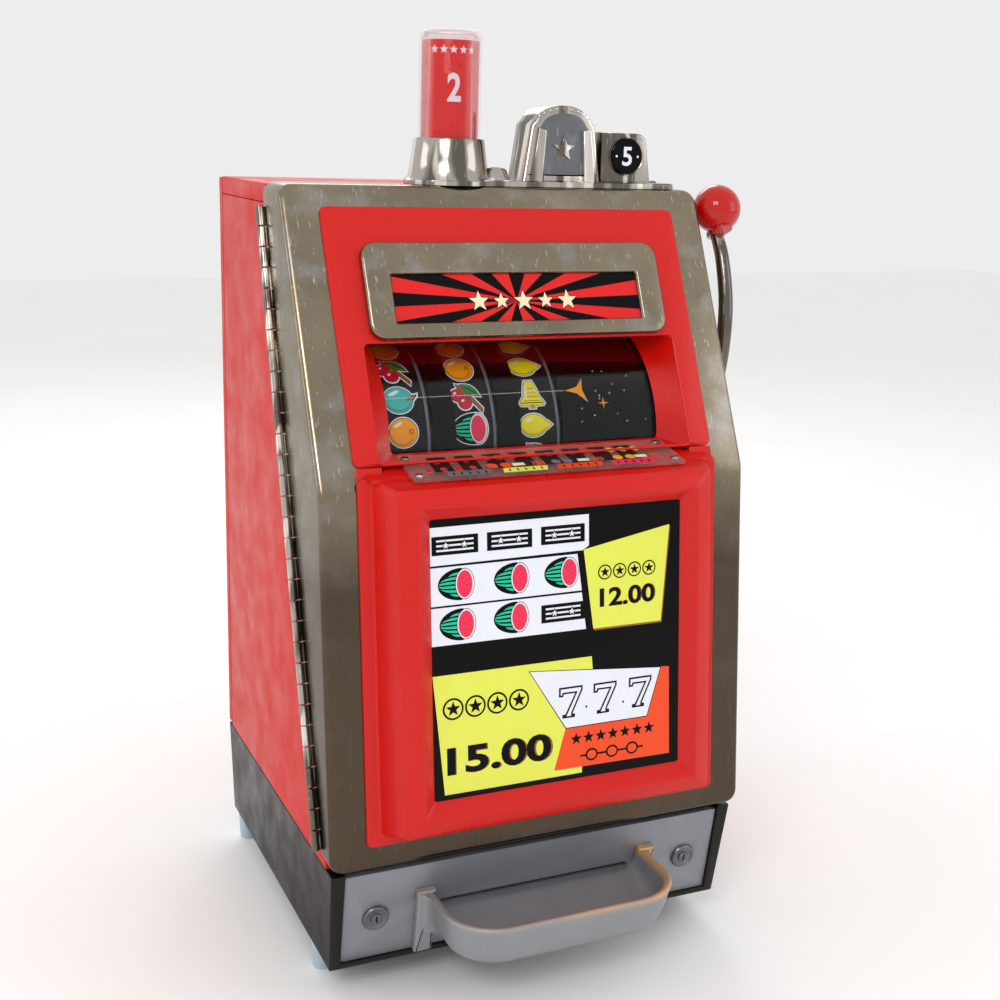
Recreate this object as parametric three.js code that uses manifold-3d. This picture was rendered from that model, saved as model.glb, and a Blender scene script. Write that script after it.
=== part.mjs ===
// Counter-top slot machine: a tapered wooden cabinet on a plinth, a cast front door on a
// leaning side hinge, a three-reel mechanism, a side handle and a coin tray.
// Millimetres, +Z up, front towards -Y, handle on the +X side.

import * as THREE from 'three';
import { mergeVertices } from 'three/addons/utils/BufferGeometryUtils.js';
import Module from 'manifold-3d';

const wasm = await Module();
wasm.setup();

// ---------------------------------------------------------------- driving dimensions

const GAP = 0.4;                 // clearance between two pieces that touch
const RUN = 0.5;                 // radial clearance of a turning fit

// cabinet and plinth
const CAB_HALF = 197;            // half width of the cabinet
const CAB_BACK = 332;            // depth from the door's bend to the back
const CAB_TOP = 660;             // height of the cabinet's top above the plinth's lower edge
const PANEL = 16;                // wooden panel
const REAR_DOOR_T = 12;
const PLINTH_H = 98;
const PLINTH_WALL = 12;
const PLINTH_FRONT_WALL = 16;
const PLINTH_TAPER = 3;          // the plinth narrows by this much on each side going down
const PLINTH_FRONT_TOP = -24;    // depth of the plinth's front at its top edge
const PLINTH_FRONT_LOW = -9;     // and at its bottom edge
const FOOT_R = 9;
const FOOT_H = 30;
const FOOT_FRONT_Y = 50;
const FOOT_BACK_INSET = 16;      // foot centre ahead of the back face

// door
const DOOR_PROUD = 3;            // the door stands out past the cabinet on each side
const DOOR_HALF = CAB_HALF + DOOR_PROUD;
const DOOR_WALL = 4;
const DOOR_LOW_Z = PLINTH_H + 5.8; // bottom edge, above the plinth
const BEND_Z = 423;              // where the front face changes slope
const DOOR_TOP_Z = 662;
const LOWER_LEAN = 5.85;         // degrees, lower face leans back going up
const UPPER_LEAN = 25.2;         // degrees, upper face leans back going up
const HINGE_LEAN = 17;           // degrees, hinge line leans back going up
const HINGE_LOW_Y = -8;          // depth of the hinge line at the door's bottom edge
const DOOR_CORNER_R = 12;
const DOOR_GAP = 1.6;            // between the door's back edge and the cabinet

// red bezels
const DOOR_BORDER = 31.5;        // bright border of the door beside the bezels
const BEZEL_HALF = DOOR_HALF - DOOR_BORDER;
const BEZEL_T = 3;
const BEZEL_TOP = 244;           // up the upper face from the bend
const SEAM = 14;                 // where the two bezels meet, up the upper face
const LOWER_BEZEL_LOW = -300;    // down the lower face from the bend
const SHOULDER_HALF = BEZEL_HALF - 22.5; // where the steep flank of the lower bezel ends
const SHOULDER_OUT = 32;
const SHOULDER_TOP = 5;
const SHOULDER_LOW = -286;
const RIDGE_HALF = BEZEL_HALF - 38.5;
const RIDGE_OUT = 37.5;          // how far the lower bezel stands out
const RIDGE_TOP = -9;
const RIDGE_LOW = -272;
const WINDOW_HALF = BEZEL_HALF - 51.5;
const WINDOW_TOP = -21;
const WINDOW_LOW = -259;
const FRAME_BORDER = 11;         // how far the bezel flanges overlap the door frame

// name panel
const NAME_HALF = BEZEL_HALF - 28.5;
const NAME_LOW = 126;
const NAME_TOP = 210;
const NAME_GLASS_HALF = NAME_HALF - 24;
const NAME_GLASS_LOW = 139.5;
const NAME_GLASS_TOP = 182;
const NAME_T = 6;

// reels
const REEL_Y = 132;
const REEL_Z = 439;
const REEL_R = 90;
const REEL_W = 48;
const REEL_PITCH = 61;
const REEL_FIRST_X = -REEL_PITCH - 51;
const REEL_STOPS = 20;
const STRIP_T = 1;
const STAR_R = REEL_R - 32;
const STAR_T = 3;
const SHAFT_R = 8;
const GLASS_T = 2.5;
const REEL_GLASS_R = REEL_R + 7; // outer radius of the bowed reel glass
const REEL_GLASS_FROM = 4;       // degrees above level where the bowed glass starts
const REEL_GLASS_TO = 76;
const SHELF_FRONT = [-22, 433];  // y, z of the front edge of the shelf below the reels
const SHELF_T = 4.2;
const SHELF_TUCK = 1.3;          // how far the shelf runs in below the bowed glass
const CARD_T = 3;
const REEL_GLASS_HALF = BEZEL_HALF - 39.5;
const COCKPIT_HALF = BEZEL_HALF - 22.5; // opening of the reel recess at the door's face

// mechanism
const FRAME_X = CAB_HALF - 47;   // inner face of the mechanism's side plates
const PLATE_T = 3;
const MECH_Z = 322;              // top of the mechanism's base plate
const MECH_FRONT = 70;
const MECH_BACK = 296;
const LEVER_PIVOT = [205, 348];  // y, z
const BAIL_PIVOT = [262, 345];
const COIN_TUBE = [92, 120];     // x, y
const COIN_TUBE_R = 15;
const COIN_TUBE_TOP = 424;

// handle
const HANDLE_Y = 152;
const HANDLE_Z = 384;
const HANDLE_X = DOOR_HALF + 28; // plane of the arm
const HANDLE_SHAFT_R = 9;
const ARM_R = 7.5;
const KNOB_R = 23;
const KNOB_Y = 117;
const KNOB_Z = 645;
const BUSH_R = 24;

// coin tray and front plate
const PLATE_HALF = CAB_HALF - 13.5;
const PLATE_LOW = 6.5;
const PLATE_HIGH = 95;
const PLATE_THICK = 6;
const PLATE_INSET = 2.5;
const TRAY_HALF = 109;
const TRAY_FRONT = -103;
const TRAY_RIM = 66;
const TRAY_LOW = 23;
const TRAY_WALL = 5;
const TRAY_EAR = TRAY_HALF + 9;
const TRAY_EAR_T = 7;
const SLOT_HALF = TRAY_HALF - 15;
const SLOT_LOW = 48;
const SLOT_H = 6;
const LOCK_X = PLATE_HALF - 29.5;
const LOCK_Z = 48;
const LOCK_R = 12;
const LOCK_BODY_R = 9;

// top casting with the indicator tube
const TUBE_X = -34;
const TUBE_Y = 150;
const TUBE_R = 27.5;
const TUBE_WALL = 2;
const TUBE_LOW = 702;
const TUBE_TOP = 793;
const CONE_R = 37;
const TOP_FLANGE = [-66, 183];   // x range
const TOP_FRONT = 117;
const TOP_BACK = 160;
const BADGE_X = 132;
const BADGE_Z = 691;
const BADGE_R = 16;
const ARCH_X = 66;
const ARCH_HALF = 44;
const ARCH_SHOULDER = 716;
const ARCH_TOP = 734;
const COIN_X = 141;              // coin entry
const COIN_Y = 139;

// door hinge
const KNUCKLE_R = 3.5;
const HINGE_X = -DOOR_HALF - KNUCKLE_R - GAP;
const PIN_R = 1.3;

const ARC = 12;                  // segments of a small round
const ROUND = 20;                // segments of a large one
const rad = THREE.MathUtils.degToRad;

// ---------------------------------------------------------------- solids

function solid(geometry) {
  const bare = geometry.index ? geometry.toNonIndexed() : geometry.clone();
  bare.deleteAttribute('normal');
  bare.deleteAttribute('uv');
  const merged = mergeVertices(bare, 1e-4);
  return new wasm.Manifold(new wasm.Mesh({
    numProp: 3,
    vertProperties: new Float32Array(merged.attributes.position.array),
    triVerts: new Uint32Array(merged.index.array),
  }));
}

function geometryOf(manifold) {
  const mesh = manifold.getMesh();
  const geometry = new THREE.BufferGeometry();
  geometry.setAttribute('position', new THREE.BufferAttribute(new Float32Array(mesh.vertProperties), 3));
  geometry.setIndex(new THREE.BufferAttribute(new Uint32Array(mesh.triVerts), 1));
  geometry.computeVertexNormals();
  return geometry;
}

function unite(first, ...others) {
  return geometryOf(others.reduce((sum, part) => sum.add(solid(part)), solid(first)));
}

function cut(first, ...others) {
  return geometryOf(others.reduce((sum, part) => sum.subtract(solid(part)), solid(first)));
}

function common(first, second) {
  return geometryOf(solid(first).intersect(solid(second)));
}

function box(x0, x1, y0, y1, z0, z1) {
  const geometry = new THREE.BoxGeometry(x1 - x0, y1 - y0, z1 - z0);
  return geometry.translate((x0 + x1) / 2, (y0 + y1) / 2, (z0 + z1) / 2);
}

function prism(points, depth) {
  const shape = new THREE.Shape(points.map(([a, b]) => new THREE.Vector2(a, b)));
  return new THREE.ExtrudeGeometry(shape, { depth, bevelEnabled: false, curveSegments: ARC });
}

const axesX = new THREE.Matrix4().makeBasis(
  new THREE.Vector3(0, 1, 0), new THREE.Vector3(0, 0, 1), new THREE.Vector3(1, 0, 0));
const axesY = new THREE.Matrix4().makeBasis(
  new THREE.Vector3(1, 0, 0), new THREE.Vector3(0, 0, 1), new THREE.Vector3(0, -1, 0));

// A (y, z) outline drawn out along X, an (x, z) outline along Y and an (x, y) outline along Z.
function alongX(points, x0, x1) {
  return prism(points, x1 - x0).applyMatrix4(axesX).translate(x0, 0, 0);
}

function alongY(points, y0, y1) {
  return prism(points, y1 - y0).applyMatrix4(axesY).translate(0, y1, 0);
}

function alongZ(points, z0, z1) {
  return prism(points, z1 - z0).translate(0, 0, z0);
}

function rod(from, to, radius, segments = ARC, endRadius = radius) {
  const a = new THREE.Vector3(...from);
  const b = new THREE.Vector3(...to);
  const direction = b.clone().sub(a);
  const geometry = new THREE.CylinderGeometry(endRadius, radius, direction.length(), segments);
  const turn = new THREE.Quaternion();
  turn.setFromUnitVectors(new THREE.Vector3(0, 1, 0), direction.clone().normalize());
  geometry.applyQuaternion(turn);
  const middle = a.add(b).multiplyScalar(0.5);
  return geometry.translate(middle.x, middle.y, middle.z);
}

// A profile of (radius, height) turned about Z.
function turned(profile, segments = ROUND) {
  const points = profile.map(([r, z]) => new THREE.Vector2(r, z));
  return new THREE.LatheGeometry(points, segments).rotateX(Math.PI / 2);
}

// A skin over a stack of closed rings with the same number of points.
function loft(rings) {
  const count = rings[0].length;
  const positions = rings.flat().flat();
  const index = [];
  for (let r = 0; r < rings.length - 1; r += 1) {
    for (let i = 0; i < count; i += 1) {
      const a = r * count + i;
      const b = r * count + (i + 1) % count;
      index.push(a, b, b + count, a, b + count, a + count);
    }
  }
  const last = (rings.length - 1) * count;
  for (let i = 1; i < count - 1; i += 1) {
    index.push(0, i + 1, i);
    index.push(last, last + i, last + i + 1);
  }
  const geometry = new THREE.BufferGeometry();
  geometry.setAttribute('position', new THREE.Float32BufferAttribute(positions, 3));
  geometry.setIndex(index);
  return geometry;
}

function rectangle(x0, x1, y0, y1, z) {
  return [[x0, y0, z], [x1, y0, z], [x1, y1, z], [x0, y1, z]];
}

// A frame lying on a leaning face: x across, z up the face, -y out of it.
function leaning(degrees, y, z) {
  return new THREE.Matrix4().makeRotationX(-rad(degrees)).setPosition(0, y, z);
}

const upperFace = leaning(UPPER_LEAN, 0, BEND_Z);
const lowerFace = leaning(LOWER_LEAN, 0, BEND_Z);
const plinthLean = THREE.MathUtils.radToDeg(Math.atan((PLINTH_FRONT_LOW - PLINTH_FRONT_TOP) / PLINTH_H));
const plateFace = leaning(-plinthLean, PLINTH_FRONT_LOW + PLATE_INSET, 0);

const on = (face, geometry) => geometry.applyMatrix4(face);
const glassFoot = [
  REEL_Y - REEL_GLASS_R * Math.cos(rad(REEL_GLASS_FROM)),
  REEL_Z + REEL_GLASS_R * Math.sin(rad(REEL_GLASS_FROM)),
];
const shelfBackY = glassFoot[0] + SHELF_TUCK;
const shelfSlope = (glassFoot[1] - GAP - SHELF_FRONT[1]) / (shelfBackY - SHELF_FRONT[0]);
const shelfTop = (y) => SHELF_FRONT[1] + (y - SHELF_FRONT[0]) * shelfSlope;
// Section of a sheet lying along the shelf, from y0 to y1, between two heights above its top.
const shelfLayer = (y0, y1, low, high) => [
  [y0, shelfTop(y0) + low], [y0, shelfTop(y0) + high], [y1, shelfTop(y1) + high], [y1, shelfTop(y1) + low],
];
const hingeY = (z) => HINGE_LOW_Y + (z - DOOR_LOW_Z) * Math.tan(rad(HINGE_LEAN));
const lowerY = (z) => (z - BEND_Z) * Math.tan(rad(LOWER_LEAN));
const upperY = (z) => (z - BEND_Z) * Math.tan(rad(UPPER_LEAN));

// ---------------------------------------------------------------- materials and nodes

function finish(color, roughness, metalness, extra = {}) {
  return new THREE.MeshStandardMaterial({ color, roughness, metalness, ...extra });
}

const RED = () => finish(0xd8200f, 0.3, 0);
const CHROME = () => finish(0xb8b0a4, 0.2, 1);
const ALUMINIUM = () => finish(0xa3aab2, 0.5, 0.8);
const BLACK = () => finish(0x16130f, 0.5, 0);
const STEEL = () => finish(0x9a9a98, 0.4, 1);
const BRASS = () => finish(0xb08d4c, 0.35, 1);
const CLEAR = () => finish(0xe8eef0, 0.05, 0, { transparent: true, opacity: 0.35 });

const machine = new THREE.Group();
machine.name = 'slot_machine';

function add(name, geometry, material, group = machine) {
  const mesh = new THREE.Mesh(geometry, material);
  mesh.name = name;
  group.add(mesh);
  return mesh;
}

// ---------------------------------------------------------------- cabinet

function makeCabinet() {
  const back = CAB_BACK - REAR_DOOR_T - 0.8;
  const low = PLINTH_H + GAP;
  const sideTop = CAB_TOP - PANEL - GAP;
  const frontAt = (z) => hingeY(z) + DOOR_GAP;
  const sideOutline = [[frontAt(low), low], [back, low], [back, sideTop], [frontAt(sideTop), sideTop]];
  add('side_left', alongX(sideOutline, -CAB_HALF, -CAB_HALF + PANEL), RED());
  const bore = rod([0, HANDLE_Y, HANDLE_Z], [CAB_HALF + 10, HANDLE_Y, HANDLE_Z], HANDLE_SHAFT_R + 5, ARC);
  add('side_right', cut(alongX(sideOutline, CAB_HALF - PANEL, CAB_HALF), bore), RED());
  const topOutline = [
    [frontAt(CAB_TOP - PANEL), CAB_TOP - PANEL], [back, CAB_TOP - PANEL],
    [back, CAB_TOP], [frontAt(CAB_TOP), CAB_TOP],
  ];
  add('cabinet_top', alongX(topOutline, -CAB_HALF, CAB_HALF), RED());
  const inner = CAB_HALF - PANEL - GAP;
  const floorZ = PLINTH_H + 16;
  add('cabinet_floor', cut(
    box(-inner, inner, frontAt(low) + 4, back, PLINTH_H + GAP, floorZ),
    box(-SLOT_HALF, SLOT_HALF, 0, 64, 0, 200),
    box(104, 152, 60, 240, 0, 200)), BLACK());
}

function makeRearDoor() {
  const y0 = CAB_BACK - REAR_DOOR_T;
  const panel = box(-CAB_HALF, CAB_HALF, y0, CAB_BACK, PLINTH_H + 3, CAB_TOP - 1);
  const pull = rod([CAB_HALF - 30, y0 - 5, 380], [CAB_HALF - 30, CAB_BACK + 5, 380], 11, ARC);
  add('rear_door', cut(panel, pull), RED());
  add('rear_lock', unite(
    rod([CAB_HALF - 30, y0 - 2, 380], [CAB_HALF - 30, CAB_BACK + 0.5, 380], 10.5, ARC),
    box(CAB_HALF - 38, CAB_HALF - 22, y0 - 4, y0 - 1, 352, 388)), CHROME());
}

function makePlinth() {
  const low = rectangle(-CAB_HALF + PLINTH_TAPER, CAB_HALF - PLINTH_TAPER, PLINTH_FRONT_LOW, CAB_BACK - 3, 0);
  const high = rectangle(-CAB_HALF, CAB_HALF, PLINTH_FRONT_TOP, CAB_BACK, PLINTH_H);
  const inside = box(
    -CAB_HALF + PLINTH_WALL, CAB_HALF - PLINTH_WALL,
    PLINTH_FRONT_LOW + PLINTH_FRONT_WALL, CAB_BACK - PLINTH_WALL - 3, 10, PLINTH_H + 10);
  const opening = box(-PLATE_HALF + 12, PLATE_HALF - 12, -60, 30, 14, 88);
  const recess = on(plateFace, box(
    -PLATE_HALF - GAP, PLATE_HALF + GAP, -20, PLATE_THICK + GAP, PLATE_LOW - GAP, PLATE_HIGH + 20));
  add('plinth', cut(loft([low, high]), inside, opening, recess), BLACK());
}

function makeFeet() {
  for (const [side, x] of [['left', -1], ['right', 1]]) {
    for (const [end, y] of [['front', FOOT_FRONT_Y], ['back', CAB_BACK - FOOT_BACK_INSET]]) {
      const profile = [
        [0, -FOOT_H], [FOOT_R - 1, -FOOT_H], [FOOT_R, -FOOT_H + 2], [FOOT_R, -GAP], [0, -GAP],
      ];
      const foot = turned(profile, ARC).translate(x * (CAB_HALF - 14), y, 0);
      add(`foot_${end}_${side}`, foot, finish(0xb9c6cf, 0.6, 0));
    }
  }
}

// ---------------------------------------------------------------- front plate, locks and tray

function makeFrontPlate() {
  const plate = box(-PLATE_HALF, PLATE_HALF, 0, PLATE_THICK, PLATE_LOW, PLATE_HIGH);
  const holes = [-LOCK_X, LOCK_X].map((x) => rod([x, -5, LOCK_Z], [x, 20, LOCK_Z], LOCK_BODY_R + RUN));
  const slot = box(-SLOT_HALF, SLOT_HALF, -5, 20, SLOT_LOW, SLOT_LOW + SLOT_H);
  add('front_plate', on(plateFace, cut(plate, slot, ...holes)), ALUMINIUM());
  for (const [side, x] of [['left', -LOCK_X], ['right', LOCK_X]]) {
    const head = rod([x, -GAP, LOCK_Z], [x, -3, LOCK_Z], LOCK_R, ROUND, LOCK_R - 1);
    const body = rod([x, -1, LOCK_Z], [x, PLATE_THICK + 7, LOCK_Z], LOCK_BODY_R, ARC);
    const cam = box(x - 6, x + 6, PLATE_THICK + 3, PLATE_THICK + 6, LOCK_Z - 26, LOCK_Z + 7);
    const keyway = box(x - 0.9, x + 0.9, -6, -1.5, LOCK_Z - 4, LOCK_Z + 4);
    add(`lock_${side}`, on(plateFace, cut(unite(head, body, cam), keyway)), CHROME());
  }
}

// Half-width, front and corner radius give a tray outline that is open towards the plate.
function trayOutline(half, front, corner, zOf, backY) {
  const points = [[half, backY]];
  for (let i = 0; i <= 6; i += 1) {
    const a = rad(i * 15);
    points.push([half - corner + corner * Math.cos(a), front + corner - corner * Math.sin(a)]);
  }
  const mirrored = points.map(([x, y]) => [-x, y]).reverse();
  return [...points.reverse(), ...mirrored.reverse()].map(([x, y]) => [x, y, zOf(y)]);
}

function makeTray() {
  const backY = 0;
  const outer = loft([
    trayOutline(TRAY_HALF - 17, TRAY_FRONT + 24, 30, () => TRAY_LOW, backY),
    trayOutline(TRAY_HALF - 8, TRAY_FRONT + 11, 40, () => TRAY_LOW + 6, backY),
    trayOutline(TRAY_HALF - 3, TRAY_FRONT + 4, 44, () => TRAY_LOW + 20, backY),
    trayOutline(TRAY_HALF, TRAY_FRONT, 46, () => TRAY_RIM, backY),
  ]);
  const floorAt = (y) => SLOT_LOW - 1.3 - Math.min(1, Math.max(0, -18 - y) / 60) * 18;
  const inner = loft([
    trayOutline(TRAY_HALF - 24, TRAY_FRONT + 26, 30, floorAt, backY - 1),
    trayOutline(TRAY_HALF - 11, TRAY_FRONT + 12, 38, (y) => floorAt(y) + 7, backY - 1),
    trayOutline(TRAY_HALF - TRAY_WALL - 1, TRAY_FRONT + TRAY_WALL + 1, 42, () => TRAY_RIM + 5, backY - 1),
  ]);
  const behind = on(plateFace, box(-300, 300, -GAP, 200, -100, 200));
  const ears = on(plateFace, box(-TRAY_EAR, TRAY_EAR, -TRAY_EAR_T, -GAP, PLATE_LOW, TRAY_RIM + 5));
  const cup = unite(cut(outer, behind), ears);
  const throat = on(plateFace, box(
    -TRAY_HALF + TRAY_WALL, TRAY_HALF - TRAY_WALL, -TRAY_EAR_T - 9, 20, SLOT_LOW - 0.4, TRAY_RIM + 40));
  add('coin_tray', cut(cup, cut(inner, behind), throat), ALUMINIUM());
}

// ---------------------------------------------------------------- cash box and payout chute

function makeCashBox() {
  const x = CAB_HALF - PLINTH_WALL - 6;
  const y0 = 72;
  const y1 = CAB_BACK - PLINTH_WALL - 8;
  const outer = box(-x, x, y0, y1, 10 + GAP, PLINTH_H - 8);
  const inner = box(-x + 2, x - 2, y0 + 2, y1 - 2, 13, PLINTH_H + 5);
  add('cash_box', cut(outer, inner), STEEL());
}

function makeChute() {
  const half = SLOT_HALF - 2;
  const mouth = new THREE.Vector3(0, PLATE_THICK + 2, SLOT_LOW - 0.5).applyMatrix4(plateFace);
  const ramp = [
    [mouth.y, mouth.z - 2], [40, 84], [40, 200], [58, MECH_Z - 14],
    [60.5, MECH_Z - 14], [42.5, 199], [42.5, 82], [mouth.y, mouth.z - 4.5],
  ];
  const backWall = alongX(ramp, -half, half);
  const cheek = [[mouth.y, mouth.z - 3], [41, 83], [41, 97], [26, 97], [mouth.y, mouth.z + 8]];
  const left = alongX(cheek, -half, -half + 2);
  const right = alongX(cheek, half - 2, half);
  add('payout_chute', unite(backWall, left, right), STEEL());
}

// ---------------------------------------------------------------- mechanism

function makeMechanism() {
  const outer = FRAME_X + PLATE_T;
  add('mech_base', cut(
    box(-outer, outer, MECH_FRONT, MECH_BACK, MECH_Z - PLATE_T, MECH_Z),
    box(COIN_TUBE[0] - 18, COIN_TUBE[0] + 18, MECH_FRONT - 5, COIN_TUBE[1] - 30, MECH_Z - 20, MECH_Z + 20)),
  STEEL());
  const rail = [[MECH_FRONT + 20, MECH_Z - 23], [MECH_FRONT + 20, PLINTH_H + 16 + GAP],
    [MECH_FRONT + 26, PLINTH_H + 16 + GAP], [MECH_FRONT + 26, MECH_Z - 26],
    [MECH_BACK - 8, MECH_Z - 26], [MECH_BACK - 8, PLINTH_H + 16 + GAP],
    [MECH_BACK, PLINTH_H + 16 + GAP], [MECH_BACK, MECH_Z - PLATE_T - GAP],
    [MECH_FRONT + 20, MECH_Z - PLATE_T - GAP]];
  for (const [side, x0, x1] of [['left', -outer - 6, -outer + 4], ['right', outer - 4, outer + 6]]) {
    add(`mech_rail_${side}`, alongX(rail, x0, x1), finish(0x5c3b22, 0.6, 0));
  }
  const web = [[MECH_FRONT + 12, MECH_Z + GAP], [MECH_BACK - 4, MECH_Z + GAP],
    [BAIL_PIVOT[0] + 14, BAIL_PIVOT[1] + 14], [REEL_Y + 50, REEL_Z + 22], [REEL_Y - 22, REEL_Z + 22],
    [REEL_Y - 34, REEL_Z - 20]];
  const holes = [
    rod([-200, REEL_Y, REEL_Z], [200, REEL_Y, REEL_Z], SHAFT_R + GAP),
    rod([-200, ...LEVER_PIVOT], [200, ...LEVER_PIVOT], 4 + GAP),
    rod([-200, ...BAIL_PIVOT], [200, ...BAIL_PIVOT], 5 + RUN),
  ];
  add('mech_frame_left', cut(alongX(web, -outer, -FRAME_X), ...holes), STEEL());
  const shaftHole = rod([100, HANDLE_Y, HANDLE_Z], [200, HANDLE_Y, HANDLE_Z], HANDLE_SHAFT_R + RUN);
  add('mech_frame_right', cut(alongX(web, FRAME_X, outer), ...holes, shaftHole), STEEL());
  add('reel_shaft', rod([-outer - 4, REEL_Y, REEL_Z], [outer + 4, REEL_Y, REEL_Z], SHAFT_R, ARC), STEEL());
  add('lever_rod', rod([-outer - 3, ...LEVER_PIVOT], [outer + 3, ...LEVER_PIVOT], 4, ARC), STEEL());
}

// One reel about its own centre: spoked wheel with an index wheel on its right-hand side.
function reelWheel() {
  const half = REEL_W / 2;
  const rimR = REEL_R - STRIP_T - GAP;
  const disc = rod([-1.5, 0, 0], [1.5, 0, 0], rimR, ROUND + 4);
  const openings = [0, 1, 2, 3, 4].map((i) => {
    const a = rad(72 * i + 18);
    return rod([-9, 58 * Math.cos(a), 58 * Math.sin(a)], [9, 58 * Math.cos(a), 58 * Math.sin(a)], 20, 10);
  });
  const rim = cut(
    rod([-half, 0, 0], [half, 0, 0], rimR, ROUND + 4),
    rod([-half - 2, 0, 0], [half + 2, 0, 0], rimR - 2, ROUND + 4));
  const hub = rod([-half, 0, 0], [half + STAR_T + 3, 0, 0], SHAFT_R + 6, ARC);
  const star = new THREE.Shape();
  for (let i = 0; i < REEL_STOPS * 2; i += 1) {
    const r = i % 2 ? STAR_R : STAR_R - 5;
    const a = rad(i * 180 / REEL_STOPS);
    if (i === 0) {
      star.moveTo(r * Math.cos(a), r * Math.sin(a));
    } else {
      star.lineTo(r * Math.cos(a), r * Math.sin(a));
    }
  }
  const starPlate = new THREE.ExtrudeGeometry(star, { depth: STAR_T, bevelEnabled: false })
    .applyMatrix4(axesX).translate(half + 3, 0, 0);
  const bore = rod([-99, 0, 0], [99, 0, 0], SHAFT_R + RUN, ARC);
  return cut(unite(cut(disc, ...openings), rim, hub, starPlate), bore);
}

function makeReels() {
  const half = REEL_W / 2;
  const wheel = reelWheel();
  const strip = cut(
    rod([-half, 0, 0], [half, 0, 0], REEL_R, 36),
    rod([-half - 2, 0, 0], [half + 2, 0, 0], REEL_R - STRIP_T, 36));
  for (let i = 0; i < 3; i += 1) {
    const reel = new THREE.Group();
    reel.position.set(REEL_FIRST_X + i * REEL_PITCH, REEL_Y, REEL_Z);
    add(`reel_wheel_${i + 1}`, wheel.clone(), ALUMINIUM(), reel);
    add(`reel_strip_${i + 1}`, strip.clone(), BLACK(), reel);
    machine.add(reel);
  }
}

function makeStopLevers() {
  const [py, pz] = LEVER_PIVOT;
  const toStar = Math.atan2(pz - REEL_Z, py - REEL_Y);
  const tipR = STAR_R + 1.5;
  const tip = [REEL_Y + tipR * Math.cos(toStar + 0.28), REEL_Z + tipR * Math.sin(toStar + 0.28)];
  for (let i = 0; i < 3; i += 1) {
    const x0 = REEL_FIRST_X + i * REEL_PITCH + REEL_W / 2 + 3;
    const blade = alongX([
      [py - 7, pz + 3], [py - 3, pz - 8], [py + 7, pz - 4], [py + 9, pz + 8], [tip[0] + 7, tip[1] + 1], tip,
    ], x0, x0 + STAR_T);
    const collar = rod([x0 - 1, py, pz], [x0 + STAR_T + 1, py, pz], 9);
    const bore = rod([x0 - 20, py, pz], [x0 + 20, py, pz], 4 + RUN);
    add(`stop_lever_${i + 1}`, cut(unite(blade, collar), bore), BRASS());
  }
}

function makeKickerBail() {
  const [py, pz] = BAIL_PIVOT;
  const x = FRAME_X - 6;
  const topZ = REEL_Z + 10;
  const barY = py - 18;
  const arm = [[py - 7, pz - 6], [py + 7, pz - 6], [barY + 6, topZ + 6], [barY - 6, topZ + 6]];
  add('kicker_bail', unite(
    alongX(arm, -x, -x + 4),
    alongX(arm, x - 4, x),
    rod([-x, barY, topZ], [x, barY, topZ], 4.5, 8),
    rod([-FRAME_X - PLATE_T - 2, py, pz], [FRAME_X + PLATE_T + 2, py, pz], 5, ARC)), STEEL());
}

function makeCoinTube() {
  const [x, y] = COIN_TUBE;
  const low = MECH_Z + 9;
  const tube = cut(
    rod([x, y, low], [x, y, COIN_TUBE_TOP], COIN_TUBE_R, ARC + 4),
    rod([x, y, low - 5], [x, y, COIN_TUBE_TOP + 5], COIN_TUBE_R - 2, ARC + 4),
    box(x - 5, x + 5, y - 40, y, low + 20, COIN_TUBE_TOP - 20));
  add('coin_tube', tube, BRASS());
  add('payout_slide', unite(
    box(x - 14, x + 14, y - 20, y + 60, MECH_Z + GAP, MECH_Z + 4),
    box(x - 14, x + 14, y + 52, y + 60, MECH_Z + 3, MECH_Z + 16)), BRASS());
}

// ---------------------------------------------------------------- handle

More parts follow.
